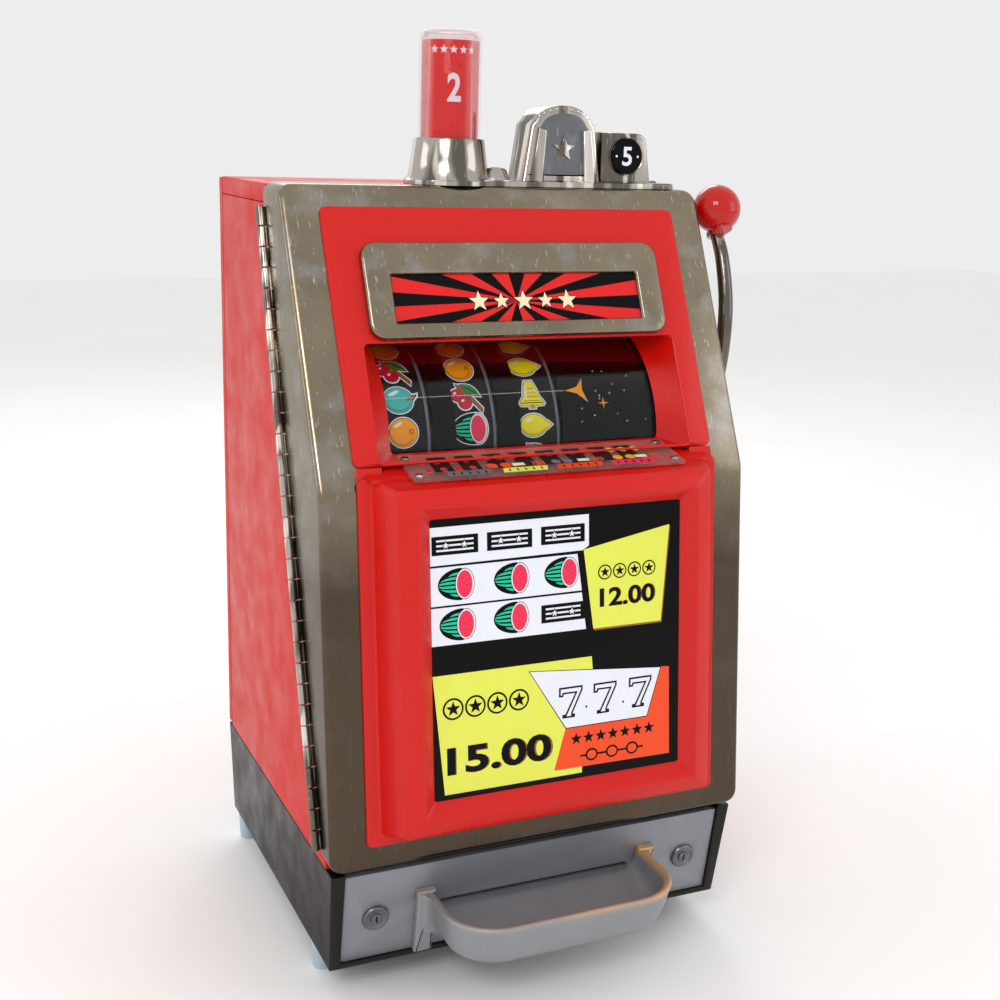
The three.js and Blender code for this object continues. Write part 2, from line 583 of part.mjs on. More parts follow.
function makeHandle() {
  const inner = FRAME_X - 20;
  const washer = CAB_HALF + GAP;
  add('handle_bush', cut(unite(
    rod([washer, HANDLE_Y, HANDLE_Z], [washer + 8, HANDLE_Y, HANDLE_Z], BUSH_R, ROUND, BUSH_R - 4),
    rod([CAB_HALF - PANEL, HANDLE_Y, HANDLE_Z], [washer + 1, HANDLE_Y, HANDLE_Z], HANDLE_SHAFT_R + 4, ARC)),
  rod([0, HANDLE_Y, HANDLE_Z], [400, HANDLE_Y, HANDLE_Z], HANDLE_SHAFT_R + RUN, ARC)), CHROME());
  const hubStart = washer + 8 + GAP;
  const crank = alongX([
    [HANDLE_Y - 12, HANDLE_Z + 6], [HANDLE_Y - 5, HANDLE_Z - 44], [HANDLE_Y + 5, HANDLE_Z - 44],
    [HANDLE_Y + 12, HANDLE_Z + 6]], inner, inner + 5);
  add('handle_shaft', unite(
    rod([inner, HANDLE_Y, HANDLE_Z], [HANDLE_X - 6, HANDLE_Y, HANDLE_Z], HANDLE_SHAFT_R, ARC),
    rod([inner, HANDLE_Y, HANDLE_Z], [inner + 6, HANDLE_Y, HANDLE_Z], 15, ARC),
    crank), STEEL());
  add('handle_spring', cut(
    rod([inner + 8, HANDLE_Y, HANDLE_Z], [FRAME_X - 1, HANDLE_Y, HANDLE_Z], HANDLE_SHAFT_R + 5, ARC),
    rod([inner, HANDLE_Y, HANDLE_Z], [FRAME_X + 5, HANDLE_Y, HANDLE_Z], HANDLE_SHAFT_R + 1, ARC)), STEEL());
  const path = new THREE.CatmullRomCurve3([
    new THREE.Vector3(HANDLE_X, HANDLE_Y - 2, HANDLE_Z + 2),
    new THREE.Vector3(HANDLE_X, HANDLE_Y - 22, HANDLE_Z + 28),
    new THREE.Vector3(HANDLE_X, HANDLE_Y - 46, HANDLE_Z + 74),
    new THREE.Vector3(HANDLE_X, HANDLE_Y - 60, HANDLE_Z + 124),
    new THREE.Vector3(HANDLE_X, HANDLE_Y - 62, HANDLE_Z + 172),
    new THREE.Vector3(HANDLE_X, HANDLE_Y - 51, HANDLE_Z + 214),
    new THREE.Vector3(HANDLE_X, KNOB_Y - 1, KNOB_Z - KNOB_R + 3),
  ]);
  const round = new THREE.Shape();
  round.absarc(0, 0, ARM_R, 0, Math.PI * 2);
  const arm = new THREE.ExtrudeGeometry(round, {
    steps: 14, extrudePath: path, curveSegments: 5, bevelEnabled: false,
  });
  const boreEnd = HANDLE_X - 6 + GAP;
  const bore = () => rod([0, HANDLE_Y, HANDLE_Z], [boreEnd, HANDLE_Y, HANDLE_Z], HANDLE_SHAFT_R + GAP, ARC);
  const boss = rod([hubStart, HANDLE_Y, HANDLE_Z], [HANDLE_X + 10, HANDLE_Y, HANDLE_Z], 17, ROUND, 14);
  const hub = cut(boss, bore());
  const knobBore = new THREE.SphereGeometry(KNOB_R + GAP, 18, 12).translate(HANDLE_X, KNOB_Y, KNOB_Z);
  add('handle_arm', cut(unite(hub, cut(arm, bore())), knobBore), CHROME());
  const knob = new THREE.SphereGeometry(KNOB_R, 18, 12);
  add('handle_knob', knob.translate(HANDLE_X, KNOB_Y, KNOB_Z), RED());
}

// ---------------------------------------------------------------- door

function doorOutline(inset, back) {
  const lowZ = DOOR_LOW_Z + inset;
  const topZ = DOOR_TOP_Z - inset;
  const skin = (y, lean) => y + inset / Math.cos(rad(lean));
  const bendZ = BEND_Z;
  return [
    [skin(lowerY(lowZ), LOWER_LEAN), lowZ], [hingeY(lowZ) + back, lowZ], [hingeY(topZ) + back, topZ],
    [skin(upperY(topZ), UPPER_LEAN), topZ], [skin(0, (LOWER_LEAN + UPPER_LEAN) / 2), bendZ],
  ];
}

function roundedBox(half, z0, z1, radius) {
  const points = [];
  const corners = [[half - radius, z1 - radius, 0], [-half + radius, z1 - radius, 90],
    [-half + radius, z0 + radius, 180], [half - radius, z0 + radius, 270]];
  for (const [cx, cz, start] of corners) {
    for (let i = 0; i <= 3; i += 1) {
      const a = rad(start + i * 30);
      points.push([cx + radius * Math.cos(a), cz + radius * Math.sin(a)]);
    }
  }
  return points;
}

function makeDoorFrame() {
  const block = common(
    alongX(doorOutline(0, 0), -DOOR_HALF, DOOR_HALF),
    alongY(roundedBox(DOOR_HALF, DOOR_LOW_Z, DOOR_TOP_Z, DOOR_CORNER_R), -300, 400));
  const hollow = alongX(doorOutline(DOOR_WALL, 30), -DOOR_HALF + DOOR_WALL, DOOR_HALF - DOOR_WALL);
  const half = BEZEL_HALF - FRAME_BORDER;
  const upper = on(upperFace, box(-half, half, -60, DOOR_WALL + 8, -8, BEZEL_TOP - FRAME_BORDER));
  const lower = on(lowerFace, box(-half, half, -60, DOOR_WALL + 8, LOWER_BEZEL_LOW + FRAME_BORDER, 8));
  const slotHole = box(COIN_X - 3, COIN_X + 3, COIN_Y - 13, COIN_Y + 13, DOOR_TOP_Z - 20, DOOR_TOP_Z + 20);
  const wireHole = rod([TUBE_X, TUBE_Y, DOOR_TOP_Z - 20], [TUBE_X, TUBE_Y, DOOR_TOP_Z + 20], 10);
  add('door_frame', cut(block, hollow, upper, lower, slotHole, wireHole), CHROME());
}

function makeUpperBezel() {
  const flange = on(upperFace, box(-BEZEL_HALF, BEZEL_HALF, -GAP - BEZEL_T, -GAP, SEAM + GAP, BEZEL_TOP));
  const wall = 3;
  const glassSide = REEL_GLASS_HALF - 2;
  const top = NAME_LOW - 2;
  const mouthRing = (out, y) => [
    [-COCKPIT_HALF - out, y, SEAM + 4], [COCKPIT_HALF + out, y, SEAM + 4],
    [COCKPIT_HALF + out, y, top + out], [-COCKPIT_HALF - out, y, top + out]];
  const backRing = (out, y) => [
    [-glassSide - out, y, SEAM - 20], [glassSide + out, y, SEAM - 20],
    [glassSide + out, y, top + out], [-glassSide - out, y, top + out]];
  const funnel = (out, y0, y1) => on(upperFace, loft([backRing(out, y1), mouthRing(out, y0)]));
  const clear = rod([-300, REEL_Y, REEL_Z], [300, REEL_Y, REEL_Z], REEL_GLASS_R + GAP, 64);
  const shelfClear = alongX([[-60, 380], [90, 380], [90, 447.5], [26, 447.5], [-60, 429]], -300, 300);
  const body = cut(
    unite(flange, funnel(wall, -GAP - 0.5, 70)),
    funnel(0, -GAP - BEZEL_T - 2, 72), clear, shelfClear);
  const seamTrim = on(upperFace, box(-300, 300, -30, 200, -200, SEAM + GAP));
  add('upper_bezel', cut(body, seamTrim), RED());
}

function rectRing(half, low, high, out) {
  return [[-half, -out, low], [half, -out, low], [half, -out, high], [-half, -out, high]];
}

function makeLowerBezel() {
  const t = BEZEL_T;
  const flangeTop = SEAM - 2;
  const slope = (inset) => loft([
    rectRing(BEZEL_HALF - 12 - inset, LOWER_BEZEL_LOW + 10 + inset, flangeTop - 1 - inset, -inset),
    rectRing(SHOULDER_HALF - inset, SHOULDER_LOW + inset, SHOULDER_TOP - inset, SHOULDER_OUT - inset),
    rectRing(RIDGE_HALF - inset, RIDGE_LOW + inset, RIDGE_TOP - inset, RIDGE_OUT - inset),
  ]);
  const flange = box(-BEZEL_HALF, BEZEL_HALF, -GAP - t, -GAP, LOWER_BEZEL_LOW, flangeTop);
  const window = loft([
    rectRing(WINDOW_HALF - 4, WINDOW_LOW + 4, WINDOW_TOP - 4, 10),
    rectRing(WINDOW_HALF, WINDOW_LOW, WINDOW_TOP, RIDGE_OUT - 7),
    rectRing(WINDOW_HALF + 9, WINDOW_LOW - 9, WINDOW_TOP + 7, RIDGE_OUT + 4),
  ]);
  const lean = (geometry) => on(lowerFace, geometry);
  const behind = lean(box(-300, 300, -GAP, 200, -600, 200));
  const raised = cut(unite(lean(flange), cut(lean(slope(0)), behind)), lean(slope(t)), lean(window));
  const shelf = alongX(shelfLayer(SHELF_FRONT[0], shelfBackY, -SHELF_T, 0), -REEL_GLASS_HALF + 3,
    REEL_GLASS_HALF - 3);
  const openTop = lean(box(-120, 120, -GAP - 40, 60, 2, 60));
  add('lower_bezel', unite(cut(raised, cut(openTop, shelf)), shelf), RED());
}

function makePanels() {
  const t = GLASS_T;
  const nameFrame = cut(
    box(-NAME_HALF, NAME_HALF, -NAME_T - GAP, 0, NAME_LOW, NAME_TOP),
    box(-NAME_GLASS_HALF, NAME_GLASS_HALF, -NAME_T - 5, 5, NAME_GLASS_LOW, NAME_GLASS_TOP),
    box(
      -NAME_GLASS_HALF - 4, NAME_GLASS_HALF + 4, -t - GAP * 2, 5, NAME_GLASS_LOW - 4, NAME_GLASS_TOP + 4));
  nameFrame.translate(0, -GAP - BEZEL_T - GAP, 0);
  add('name_frame', on(upperFace, nameFrame), CHROME());
  const tuck = 3.5;
  const nameGlass = box(
    -NAME_GLASS_HALF - tuck, NAME_GLASS_HALF + tuck, -t, 0, NAME_GLASS_LOW - tuck, NAME_GLASS_TOP + tuck);
  nameGlass.translate(0, -GAP * 2 - BEZEL_T, 0);
  add('name_glass', on(upperFace, nameGlass), CLEAR());
  const bow = [];
  const glassAngle = (i) => rad(REEL_GLASS_FROM + (REEL_GLASS_TO - REEL_GLASS_FROM) * i / 12);
  for (let i = 0; i <= 12; i += 1) {
    const a = glassAngle(i);
    bow.push([REEL_Y - REEL_GLASS_R * Math.cos(a), REEL_Z + REEL_GLASS_R * Math.sin(a)]);
  }
  for (let i = 12; i >= 0; i -= 1) {
    const a = glassAngle(i);
    const r = REEL_GLASS_R - t;
    bow.push([REEL_Y - r * Math.cos(a), REEL_Z + r * Math.sin(a)]);
  }
  add('reel_glass', alongX(bow, -REEL_GLASS_HALF - 5, REEL_GLASS_HALF + 5), CLEAR());
  const card = alongX(shelfLayer(SHELF_FRONT[0] + 1, shelfBackY - 10.5, GAP, GAP + CARD_T),
    -REEL_GLASS_HALF + 3, REEL_GLASS_HALF - 3);
  add('award_card', card, CLEAR());
  const lowerGlass = box(-WINDOW_HALF - 5, WINDOW_HALF + 5, -t, 0, WINDOW_LOW - 5, WINDOW_TOP + 5);
  lowerGlass.translate(0, -(RIDGE_OUT - BEZEL_T - t - 7), 0);
  add('award_glass', on(lowerFace, lowerGlass), BLACK());
}

function makeLatch() {
  const bracketBack = hingeY(350) - 2;
  const hook = alongX([
    [bracketBack - 6, 352], [bracketBack - 6, 368], [128, 368], [128, 346], [120, 346], [120, 356], [96, 352],
  ], 170, 174);
  const bracket = box(170, DOOR_HALF - DOOR_WALL - GAP, bracketBack - 24, bracketBack, 350, 370);
  add('door_latch', unite(hook, bracket), STEEL());
}

// ---------------------------------------------------------------- door hinge

function makeHinge() {
  const face = leaning(HINGE_LEAN, HINGE_LOW_Y + DOOR_GAP / 2, DOOR_LOW_Z);
  const z0 = 12;
  const pitch = 50;
  const knuckles = 11;
  const z1 = z0 + pitch * knuckles;
  const thick = 0.45;
  const along = (radius, from, to) => rod([HINGE_X, 0, from], [HINGE_X, 0, to], radius, 8);
  for (const [name, first, y0] of [['hinge_leaf_cabinet', 0, 0.2], ['hinge_leaf_door', 1, -0.2 - thick]]) {
    const pieces = [box(HINGE_X + KNUCKLE_R + GAP, HINGE_X + 18, y0, y0 + thick, z0, z1)];
    for (let i = first; i < knuckles; i += 2) {
      const from = z0 + i * pitch + GAP;
      const to = from + pitch - 2 * GAP;
      pieces.push(along(KNUCKLE_R, from, to));
      pieces.push(box(HINGE_X, HINGE_X + KNUCKLE_R + 1, y0, y0 + thick, from, to));
    }
    add(name, on(face, cut(unite(...pieces), along(PIN_R + GAP, z0 - 5, z1 + 5))), CHROME());
  }
  add('hinge_pin', on(face, along(PIN_R, z0 - 1, z1 + 1)), STEEL());
}

// ---------------------------------------------------------------- top casting and indicator tube

function makeTopCasting() {
  const z0 = DOOR_TOP_Z + GAP;
  const flangeTop = z0 + 5;
  const [x0, x1] = TOP_FLANGE;
  const flange = alongZ([
    [x0 + 6, TOP_FRONT], [x1 - 8, TOP_FRONT], [x1, TOP_FRONT + 8], [x1, TOP_BACK - 8], [x1 - 8, TOP_BACK],
    [x0 + 6, TOP_BACK]], z0, flangeTop);
  const cone = rod([TUBE_X, TUBE_Y, z0], [TUBE_X, TUBE_Y, TUBE_LOW], CONE_R, ROUND, TUBE_R + 3);
  const boss = rod([6, TUBE_Y - 12, z0], [6, TUBE_Y - 12, z0 + 15], 10, ARC, 8);
  const middle = ARCH_X;
  const arch = [[middle + ARCH_HALF, z0], [middle + ARCH_HALF - 12, ARCH_SHOULDER]];
  for (let i = 1; i < 8; i += 1) {
    const a = rad(i * 22.5);
    arch.push([
      middle + (ARCH_HALF - 14) * Math.cos(a),
      ARCH_SHOULDER + (ARCH_TOP - ARCH_SHOULDER) * Math.sin(a)]);
  }
  arch.push([middle - ARCH_HALF + 12, ARCH_SHOULDER], [middle - ARCH_HALF, z0]);
  const niche = arch.map(([x, z]) => [middle + (x - middle) * 0.72, z0 + 8 + (z - z0) * 0.76]);
  const block = [[BADGE_X - 30, z0], [BADGE_X + 30, z0], [BADGE_X + 20, BADGE_Z + 16],
    [BADGE_X + 14, BADGE_Z + 21], [BADGE_X - 30, BADGE_Z + 21]];
  const body = unite(
    flange, cone, boss,
    alongY(arch, TOP_FRONT + 6, TOP_BACK - 4),
    alongY(block, TOP_FRONT + 9, TOP_BACK - 6));
  add('top_casting', cut(
    body,
    alongY(niche, TOP_FRONT, TOP_FRONT + 12),
    box(COIN_X - 1.3, COIN_X + 1.3, COIN_Y - 12.5, COIN_Y + 12.5, 600, 800),
    rod([TUBE_X, TUBE_Y, TUBE_LOW - 12], [TUBE_X, TUBE_Y, TUBE_LOW + 9], TUBE_R + GAP, ROUND),
    rod([TUBE_X, TUBE_Y, 600], [TUBE_X, TUBE_Y, 800], 9, ARC)), CHROME());
  const face = TOP_FRONT + 9 - GAP;
  add('badge_disc', rod([BADGE_X, face, BADGE_Z], [BADGE_X, face - 2.5, BADGE_Z], BADGE_R, ROUND), BLACK());
}

function makeIndicatorTube() {
  const base = TUBE_LOW - 12 + GAP;
  const wall = TUBE_WALL;
  const lens = turned([
    [TUBE_R - wall, base], [TUBE_R, base], [TUBE_R, TUBE_TOP - 5], [TUBE_R - 2, TUBE_TOP - 1],
    [TUBE_R - 7, TUBE_TOP], [0, TUBE_TOP], [0, TUBE_TOP - 3], [TUBE_R - 8, TUBE_TOP - 3],
    [TUBE_R - wall, TUBE_TOP - 7], [TUBE_R - wall, base],
  ]);
  add('indicator_lens', lens.translate(TUBE_X, TUBE_Y, 0), CLEAR());
  const outer = TUBE_R - wall - GAP;
  const inner = outer - 0.8;
  const sleeveTop = TUBE_TOP - 12;
  const sleeve = turned([
    [inner, base], [outer, base], [outer, sleeveTop], [inner, sleeveTop], [inner, base],
  ]);
  add('indicator_sleeve', sleeve.translate(TUBE_X, TUBE_Y, 0), finish(0xd01c10, 0.4, 0));
  const lamp = turned([
    [0, base - 20], [8, base - 20], [8, base + 8], [12, base + 20], [13, base + 32], [9, base + 42],
    [0, base + 45],
  ], ARC);
  add('indicator_lamp', lamp.translate(TUBE_X, TUBE_Y, 0), finish(0xfff2d0, 0.2, 0));
}

function makeCoinChute() {
  const hx = 5;
  const hy = 15;
  const high = DOOR_TOP_Z - DOOR_WALL - GAP;
  const low = high - 95;
  const drift = -12;
  const ring = (inset, z, shift) => rectangle(
    COIN_X - hx + inset, COIN_X + hx - inset, COIN_Y + shift - hy + inset, COIN_Y + shift + hy - inset, z);
  const outer = loft([ring(0, low, drift), ring(0, high, 0)]);
  const inner = loft([ring(1.5, low - 5, drift), ring(1.5, high + 5, 0)]);
  add('coin_chute', cut(outer, inner), STEEL());
}

makeCabinet();
makeRearDoor();
makePlinth();
makeFeet();
makeFrontPlate();
makeTray();
makeCashBox();
makeChute();
makeMechanism();
makeReels();
makeStopLevers();
makeKickerBail();
makeCoinTube();
makeHandle();
makeDoorFrame();
makeUpperBezel();
makeLowerBezel();
makePanels();
makeLatch();
makeHinge();
makeTopCasting();
makeIndicatorTube();
makeCoinChute();

// The origin is the centre of the footprint at the feet.
const extent = new THREE.Box3().setFromObject(machine, true);
const centre = extent.getCenter(new THREE.Vector3());
machine.position.set(-centre.x, -centre.y, -extent.min.z);

export default machine;
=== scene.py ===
"""Looks of a counter-top slot machine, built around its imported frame.

Shapes are made in millimetres in the machine's own axes: x across from the middle plane, y back
from the bend of the door, z up from the plinth's lower edge. A face such as LOWER has axes of its
own: x across, z up the face, and -y out of it.
"""

import math
import random

import bmesh
import bpy
from mathutils import Matrix, Vector


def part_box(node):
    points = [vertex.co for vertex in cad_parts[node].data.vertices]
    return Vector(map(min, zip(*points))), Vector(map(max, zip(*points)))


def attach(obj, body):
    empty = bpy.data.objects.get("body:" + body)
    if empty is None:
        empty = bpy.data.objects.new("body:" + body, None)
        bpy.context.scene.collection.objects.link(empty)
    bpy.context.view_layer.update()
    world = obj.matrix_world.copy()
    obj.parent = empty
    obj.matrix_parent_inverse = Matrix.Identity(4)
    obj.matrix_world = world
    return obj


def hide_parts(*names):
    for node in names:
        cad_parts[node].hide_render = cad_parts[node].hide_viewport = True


MM = 0.001
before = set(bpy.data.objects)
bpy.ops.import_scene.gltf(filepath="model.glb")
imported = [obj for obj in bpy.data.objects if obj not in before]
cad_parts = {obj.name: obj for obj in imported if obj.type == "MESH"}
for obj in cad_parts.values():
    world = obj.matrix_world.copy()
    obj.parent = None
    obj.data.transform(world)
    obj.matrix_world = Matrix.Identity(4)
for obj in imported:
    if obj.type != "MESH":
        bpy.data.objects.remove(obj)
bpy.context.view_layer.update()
random.seed(7)

# ---- places taken from the frame

CABINET_DEPTH = 332  # from the bend of the door to the back of the plinth
BEND_Z = 423  # where the door's front face changes slope
LOWER_LEAN = 5.85  # degrees
UPPER_LEAN = 25.2
HINGE_LEAN = 17
PLATE_LEAN = -8.702
HAIR = 0.4  # clearance between two pieces that touch

plinth_low, plinth_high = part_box("plinth")
ORIGIN = Vector((
    (plinth_low.x + plinth_high.x) / 2,
    plinth_high.y - CABINET_DEPTH * MM,
    plinth_low.z,
))
TO_ROW = Matrix.Translation(ORIGIN) @ Matrix.Scale(MM, 4)


def leaning(degrees, y, z):
    """A face that leans back by this angle and passes through (y, z)."""
    return Matrix.Translation((0, y, z)) @ Matrix.Rotation(math.radians(-degrees), 4, "X")


LEVEL = Matrix.Identity(4)
OUTWARD = Matrix.Rotation(math.radians(90), 4, "X")  # turns a z axis to point out of a face
SIDEWAYS = Matrix.Rotation(math.radians(90), 4, "Y")  # turns a z axis to point at the handle
UPPER = leaning(UPPER_LEAN, 0, BEND_Z)
LOWER = leaning(LOWER_LEAN, 0, BEND_Z)


def reach(node, face=LEVEL):
    """Lowest and highest corner of a CAD node in a face's own axes, in millimetres."""
    inverse = (TO_ROW @ face).inverted()
    points = [inverse @ vertex.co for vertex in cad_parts[node].data.vertices]
    return [[pick(point[axis] for point in points) for axis in range(3)] for pick in (min, max)]


def centre(corners):
    """Middle of a box given by its lowest and highest corner."""
    return [(low + high) / 2 for low, high in zip(*corners)]


# ---- materials


def rgb(red, green, blue):
    """A colour given in display values from 0 to 255."""
    def linear(value):
        value /= 255
        return value / 12.92 if value < 0.04 else ((value + 0.055) / 1.055) ** 2.4
    return (linear(red), linear(green), linear(blue), 1.0)


def shade(value, factor):
    return tuple(min(1.0, channel * factor) for channel in value[:3]) + (1.0,)


class Finish:
    """A material, with helpers for the patterns that its shader's sockets take."""

    def __init__(self, name, base, roughness, metallic=0.0, coat=0.0, specular=0.5):
        self.material = bpy.data.materials.new(name)
        self.material.use_nodes = True
        self.nodes = self.material.node_tree.nodes
        self.links = self.material.node_tree.links
        self.shader = self.nodes["Principled BSDF"]
        self.base = base
        self.shader.inputs["Base Color"].default_value = base
        self.shader.inputs["Roughness"].default_value = roughness
        self.shader.inputs["Metallic"].default_value = metallic
        self.shader.inputs["Coat Weight"].default_value = coat
        self.shader.inputs["Coat Roughness"].default_value = 0.06
        self.shader.inputs["Specular IOR Level"].default_value = specular
        self.place = self.nodes.new("ShaderNodeTexCoord").outputs["Object"]
        self.normal = None

    def node(self, kind, values):
        """A new shader node, with values or links for its named sockets."""
        made = self.nodes.new(f"ShaderNode{kind}")
        for socket, value in values.items():
            if isinstance(value, bpy.types.NodeSocket):
                self.links.new(value, made.inputs[socket])
            else:
                made.inputs[socket].default_value = value
        return made

    def noise(self, scale, detail, stretch=None, turn=0.0):
        """A noise pattern, with this many features to the metre."""
        source = self.place
        if stretch:
            turns = (turn * 0.3, turn, turn * 0.2)
            mapping = self.node("Mapping", {"Vector": source, "Rotation": turns, "Scale": stretch})
            source = mapping.outputs["Vector"]
        values = {"Vector": source, "Scale": scale, "Detail": detail, "Roughness": 0.55}
        return self.node("TexNoise", values).outputs["Fac"]

    def span(self, value, low, high, start=0.3, end=0.7):
        """Stretches a pattern between start and end to run from low to high."""
        limits = {"Value": value, "From Min": start, "From Max": end, "To Min": low, "To Max": high}
        return self.node("MapRange", limits).outputs["Result"]

    def along(self, axis):
        """The place along one of the scene's own axes, in metres."""
        return self.node("SeparateXYZ", {"Vector": self.place}).outputs[axis]

    def product(self, first, second):
        made = self.nodes.new("ShaderNodeMath")
        made.operation = "MULTIPLY"
        self.links.new(first, made.inputs[0])
        self.links.new(second, made.inputs[1])
        return made.outputs[0]

    def tint(self, amount, other):
        """Mixes another colour over the base by a pattern from 0 to 1."""
        node = self.nodes.new("ShaderNodeMix")
        node.data_type = "RGBA"
        socket = self.shader.inputs["Base Color"]
        if socket.is_linked:
            self.links.new(socket.links[0].from_socket, node.inputs["A"])
        else:
            node.inputs["A"].default_value = self.base
        node.inputs["B"].default_value = other
        self.links.new(amount, node.inputs["Factor"])
        self.links.new(node.outputs["Result"], socket)
        return self

    def roughness(self, value):
        self.links.new(value, self.shader.inputs["Roughness"])
        return self

    def bump(self, value, strength, depth):
        """Raises the surface by a pattern, depth in millimetres."""
        node = self.node("Bump", {"Strength": strength, "Distance": depth * MM, "Height": value})
        if self.normal:
            self.links.new(self.normal, node.inputs["Normal"])
        self.normal = node.outputs["Normal"]
        self.links.new(self.normal, self.shader.inputs["Normal"])
        return self


def paint(name, base, roughness, coat=0.0, peel=0.3):
    """Sprayed enamel: faint cloudiness, orange peel and rubbed spots."""
    finish = Finish(name, base, roughness, coat=coat, specular=0.3)
    finish.tint(finish.span(finish.noise(5, 3), 0.0, 0.22), shade(base, 0.8))
    finish.roughness(finish.span(finish.noise(28, 5), roughness * 0.75, roughness * 1.35))
    finish.bump(finish.noise(420, 2), peel, 0.12)
    return finish


def plating(name, base, low, high, reflection_streaks=0.0):
    """Bright plating: cloudy wear, short scratches, and upright light and dark bands of painted reflection
    if asked for.
    """
    finish = Finish(name, base, low, metallic=1.0)
    finish.tint(finish.span(finish.noise(11, 5), 0.0, 0.5), shade(base, 0.5))
    finish.tint(finish.span(finish.noise(26, 3), 0.0, 0.3, 0.52, 0.75), rgb(190, 196, 206))
    if reflection_streaks:
        # painted reflection: upright dark and light bands stand in for the surroundings mirrored in the
        # plating
        dark, light = finish.noise(46, 1, (1, 1, 0.04)), finish.noise(70, 1, (1, 1, 0.03))
        finish.tint(finish.span(dark, 0.0, reflection_streaks, 0.46, 0.54), rgb(62, 50, 42))
        finish.tint(finish.span(light, 0.0, reflection_streaks, 0.56, 0.62), rgb(250, 244, 234))
    for scale, turn in ((420, 0.5), (380, 1.1), (460, -0.7), (350, 2.2)):
        scratch = finish.noise(scale, 1, (1, 0.5, 0.09), turn=turn)
        finish.tint(finish.span(scratch, 0.0, 0.3, 0.71, 0.78), rgb(236, 232, 224))
    finish.roughness(finish.span(finish.noise(36, 6), low, high))
    finish.bump(finish.noise(900, 3, (0.9, 0.9, 0.05)), 0.12, 0.05)
    finish.bump(finish.noise(9, 2), 0.3, 0.8)
    return finish


def painted_shade_towards_foot(finish, top, low, other, amount):
    """Paints a darker tone towards the foot as painted shade, between two heights in millimetres."""
    limits = [(TO_ROW @ Vector((0, 0, z))).z for z in (top, low)]
    return finish.tint(finish.span(finish.along("Z"), 0.0, amount, *limits), other)


def casting(name, base, roughness, metallic):
    """Tumbled aluminium: grainy skin with soft dull patches."""
    finish = Finish(name, base, roughness, metallic=metallic)
    finish.tint(finish.span(finish.noise(22, 5), 0.0, 0.35), shade(base, 0.7))
    finish.tint(finish.span(finish.noise(1500, 2), 0.0, 0.3, 0.45, 0.7), shade(base, 1.3))
    finish.roughness(finish.span(finish.noise(60, 5), roughness * 0.85, roughness * 1.2))
    finish.bump(finish.noise(1300, 2), 0.3, 0.08)
    return finish


def plastic(name, base, roughness, coat=0.0, emission=0.0, specular=0.3):
    """Moulded plastic or printing ink: even colour with a little life in tone and gloss."""
    finish = Finish(name, base, roughness, coat=coat, specular=specular)
    finish.tint(finish.span(finish.noise(60, 3), 0.0, 0.25), shade(base, 0.82))
    finish.roughness(finish.span(finish.noise(90, 4), roughness * 0.8, roughness * 1.3))
    # an emission paints a glow onto the part
    if emission:
        finish.shader.inputs["Emission Color"].default_value = base
        finish.shader.inputs["Emission Strength"].default_value = emission
    return finish


PANE_IOR = 1.35
PANE_GLOSS = 0.4  # the most of its surroundings that a clear pane mirrors


def clear(name, tint, gloss_roughness=0.03, haze=0.0, haze_colour=None):
    """A clear pane: what is behind shows through, with a mirror gloss over it and a little haze."""
    finish = Finish(name, tint, gloss_roughness)

    def mixed(amount, first, second):
        mix = finish.nodes.new("ShaderNodeMixShader")
        for source, socket in zip((amount, first, second), mix.inputs):
            finish.links.new(source, socket)
        return mix.outputs[0]

    body = finish.node("BsdfTransparent", {"Color": tint}).outputs[0]
    if haze:
        milk = finish.node("BsdfDiffuse", {"Color": haze_colour}).outputs[0]
        body = mixed(finish.span(finish.noise(30, 3), haze * 0.8, haze * 1.2), body, milk)
    gloss = finish.node("BsdfGlossy", {"Roughness": gloss_roughness, "Color": (1, 1, 1, 1)}).outputs[0]
    fresnel = finish.node("Fresnel", {"IOR": PANE_IOR}).outputs[0]
    pane = mixed(finish.span(fresnel, 0.0, PANE_GLOSS, 0.0, 1.0), body, gloss)
    finish.links.new(pane, finish.nodes["Material Output"].inputs["Surface"])
    finish.nodes.remove(finish.shader)
    return finish


RED_PANEL = paint("red_panel", rgb(205, 26, 12), 0.42, peel=0.35)
RED_GLOSS = paint("red_gloss", rgb(206, 16, 8), 0.3, coat=0.12, peel=0.15)
# the bright plating carries upright bands of painted reflection
BRIGHT = plating("bright_plating", rgb(190, 184, 176), 0.08, 0.2, 0.75)
BRIGHT_DULL = plating("dull_plating", rgb(120, 122, 126), 0.2, 0.4)
DOOR_METAL = plating("door_plating", rgb(146, 134, 114), 0.16, 0.3)
# painted shade: the door plating darkens towards the door's foot, from just above the bend downwards
painted_shade_towards_foot(DOOR_METAL, BEND_Z + 17, BEND_Z - 83, rgb(72, 58, 48), 0.85)
HAMMERED = casting("blue_grey_casting", rgb(140, 143, 150), 0.44, 0.45)
BLACK_PAINT = paint("black_paint", rgb(9, 7, 6), 0.38, peel=0.4)
ZINC = casting("zinc_plate", rgb(170, 168, 160), 0.34, 1.0)
BRASS = casting("brass", rgb(190, 150, 86), 0.3, 1.0)
WHEEL_METAL = casting("wheel_aluminium", rgb(190, 193, 197), 0.38, 0.9)
RAIL_WOOD = Finish("rail_wood", rgb(120, 82, 48), 0.5)
RAIL_WOOD.tint(RAIL_WOOD.span(RAIL_WOOD.noise(60, 5, (4, 4, 0.5)), 0, 0.8), rgb(74, 46, 25))
RAIL_WOOD.bump(RAIL_WOOD.noise(200, 4, (4, 4, 0.4)), 0.3, 0.2)
RUBBER_PALE = plastic("pale_foot", rgb(176, 192, 204), 0.5)
KNOB_RED = plastic("knob_red", rgb(190, 8, 4), 0.12, coat=0.35)
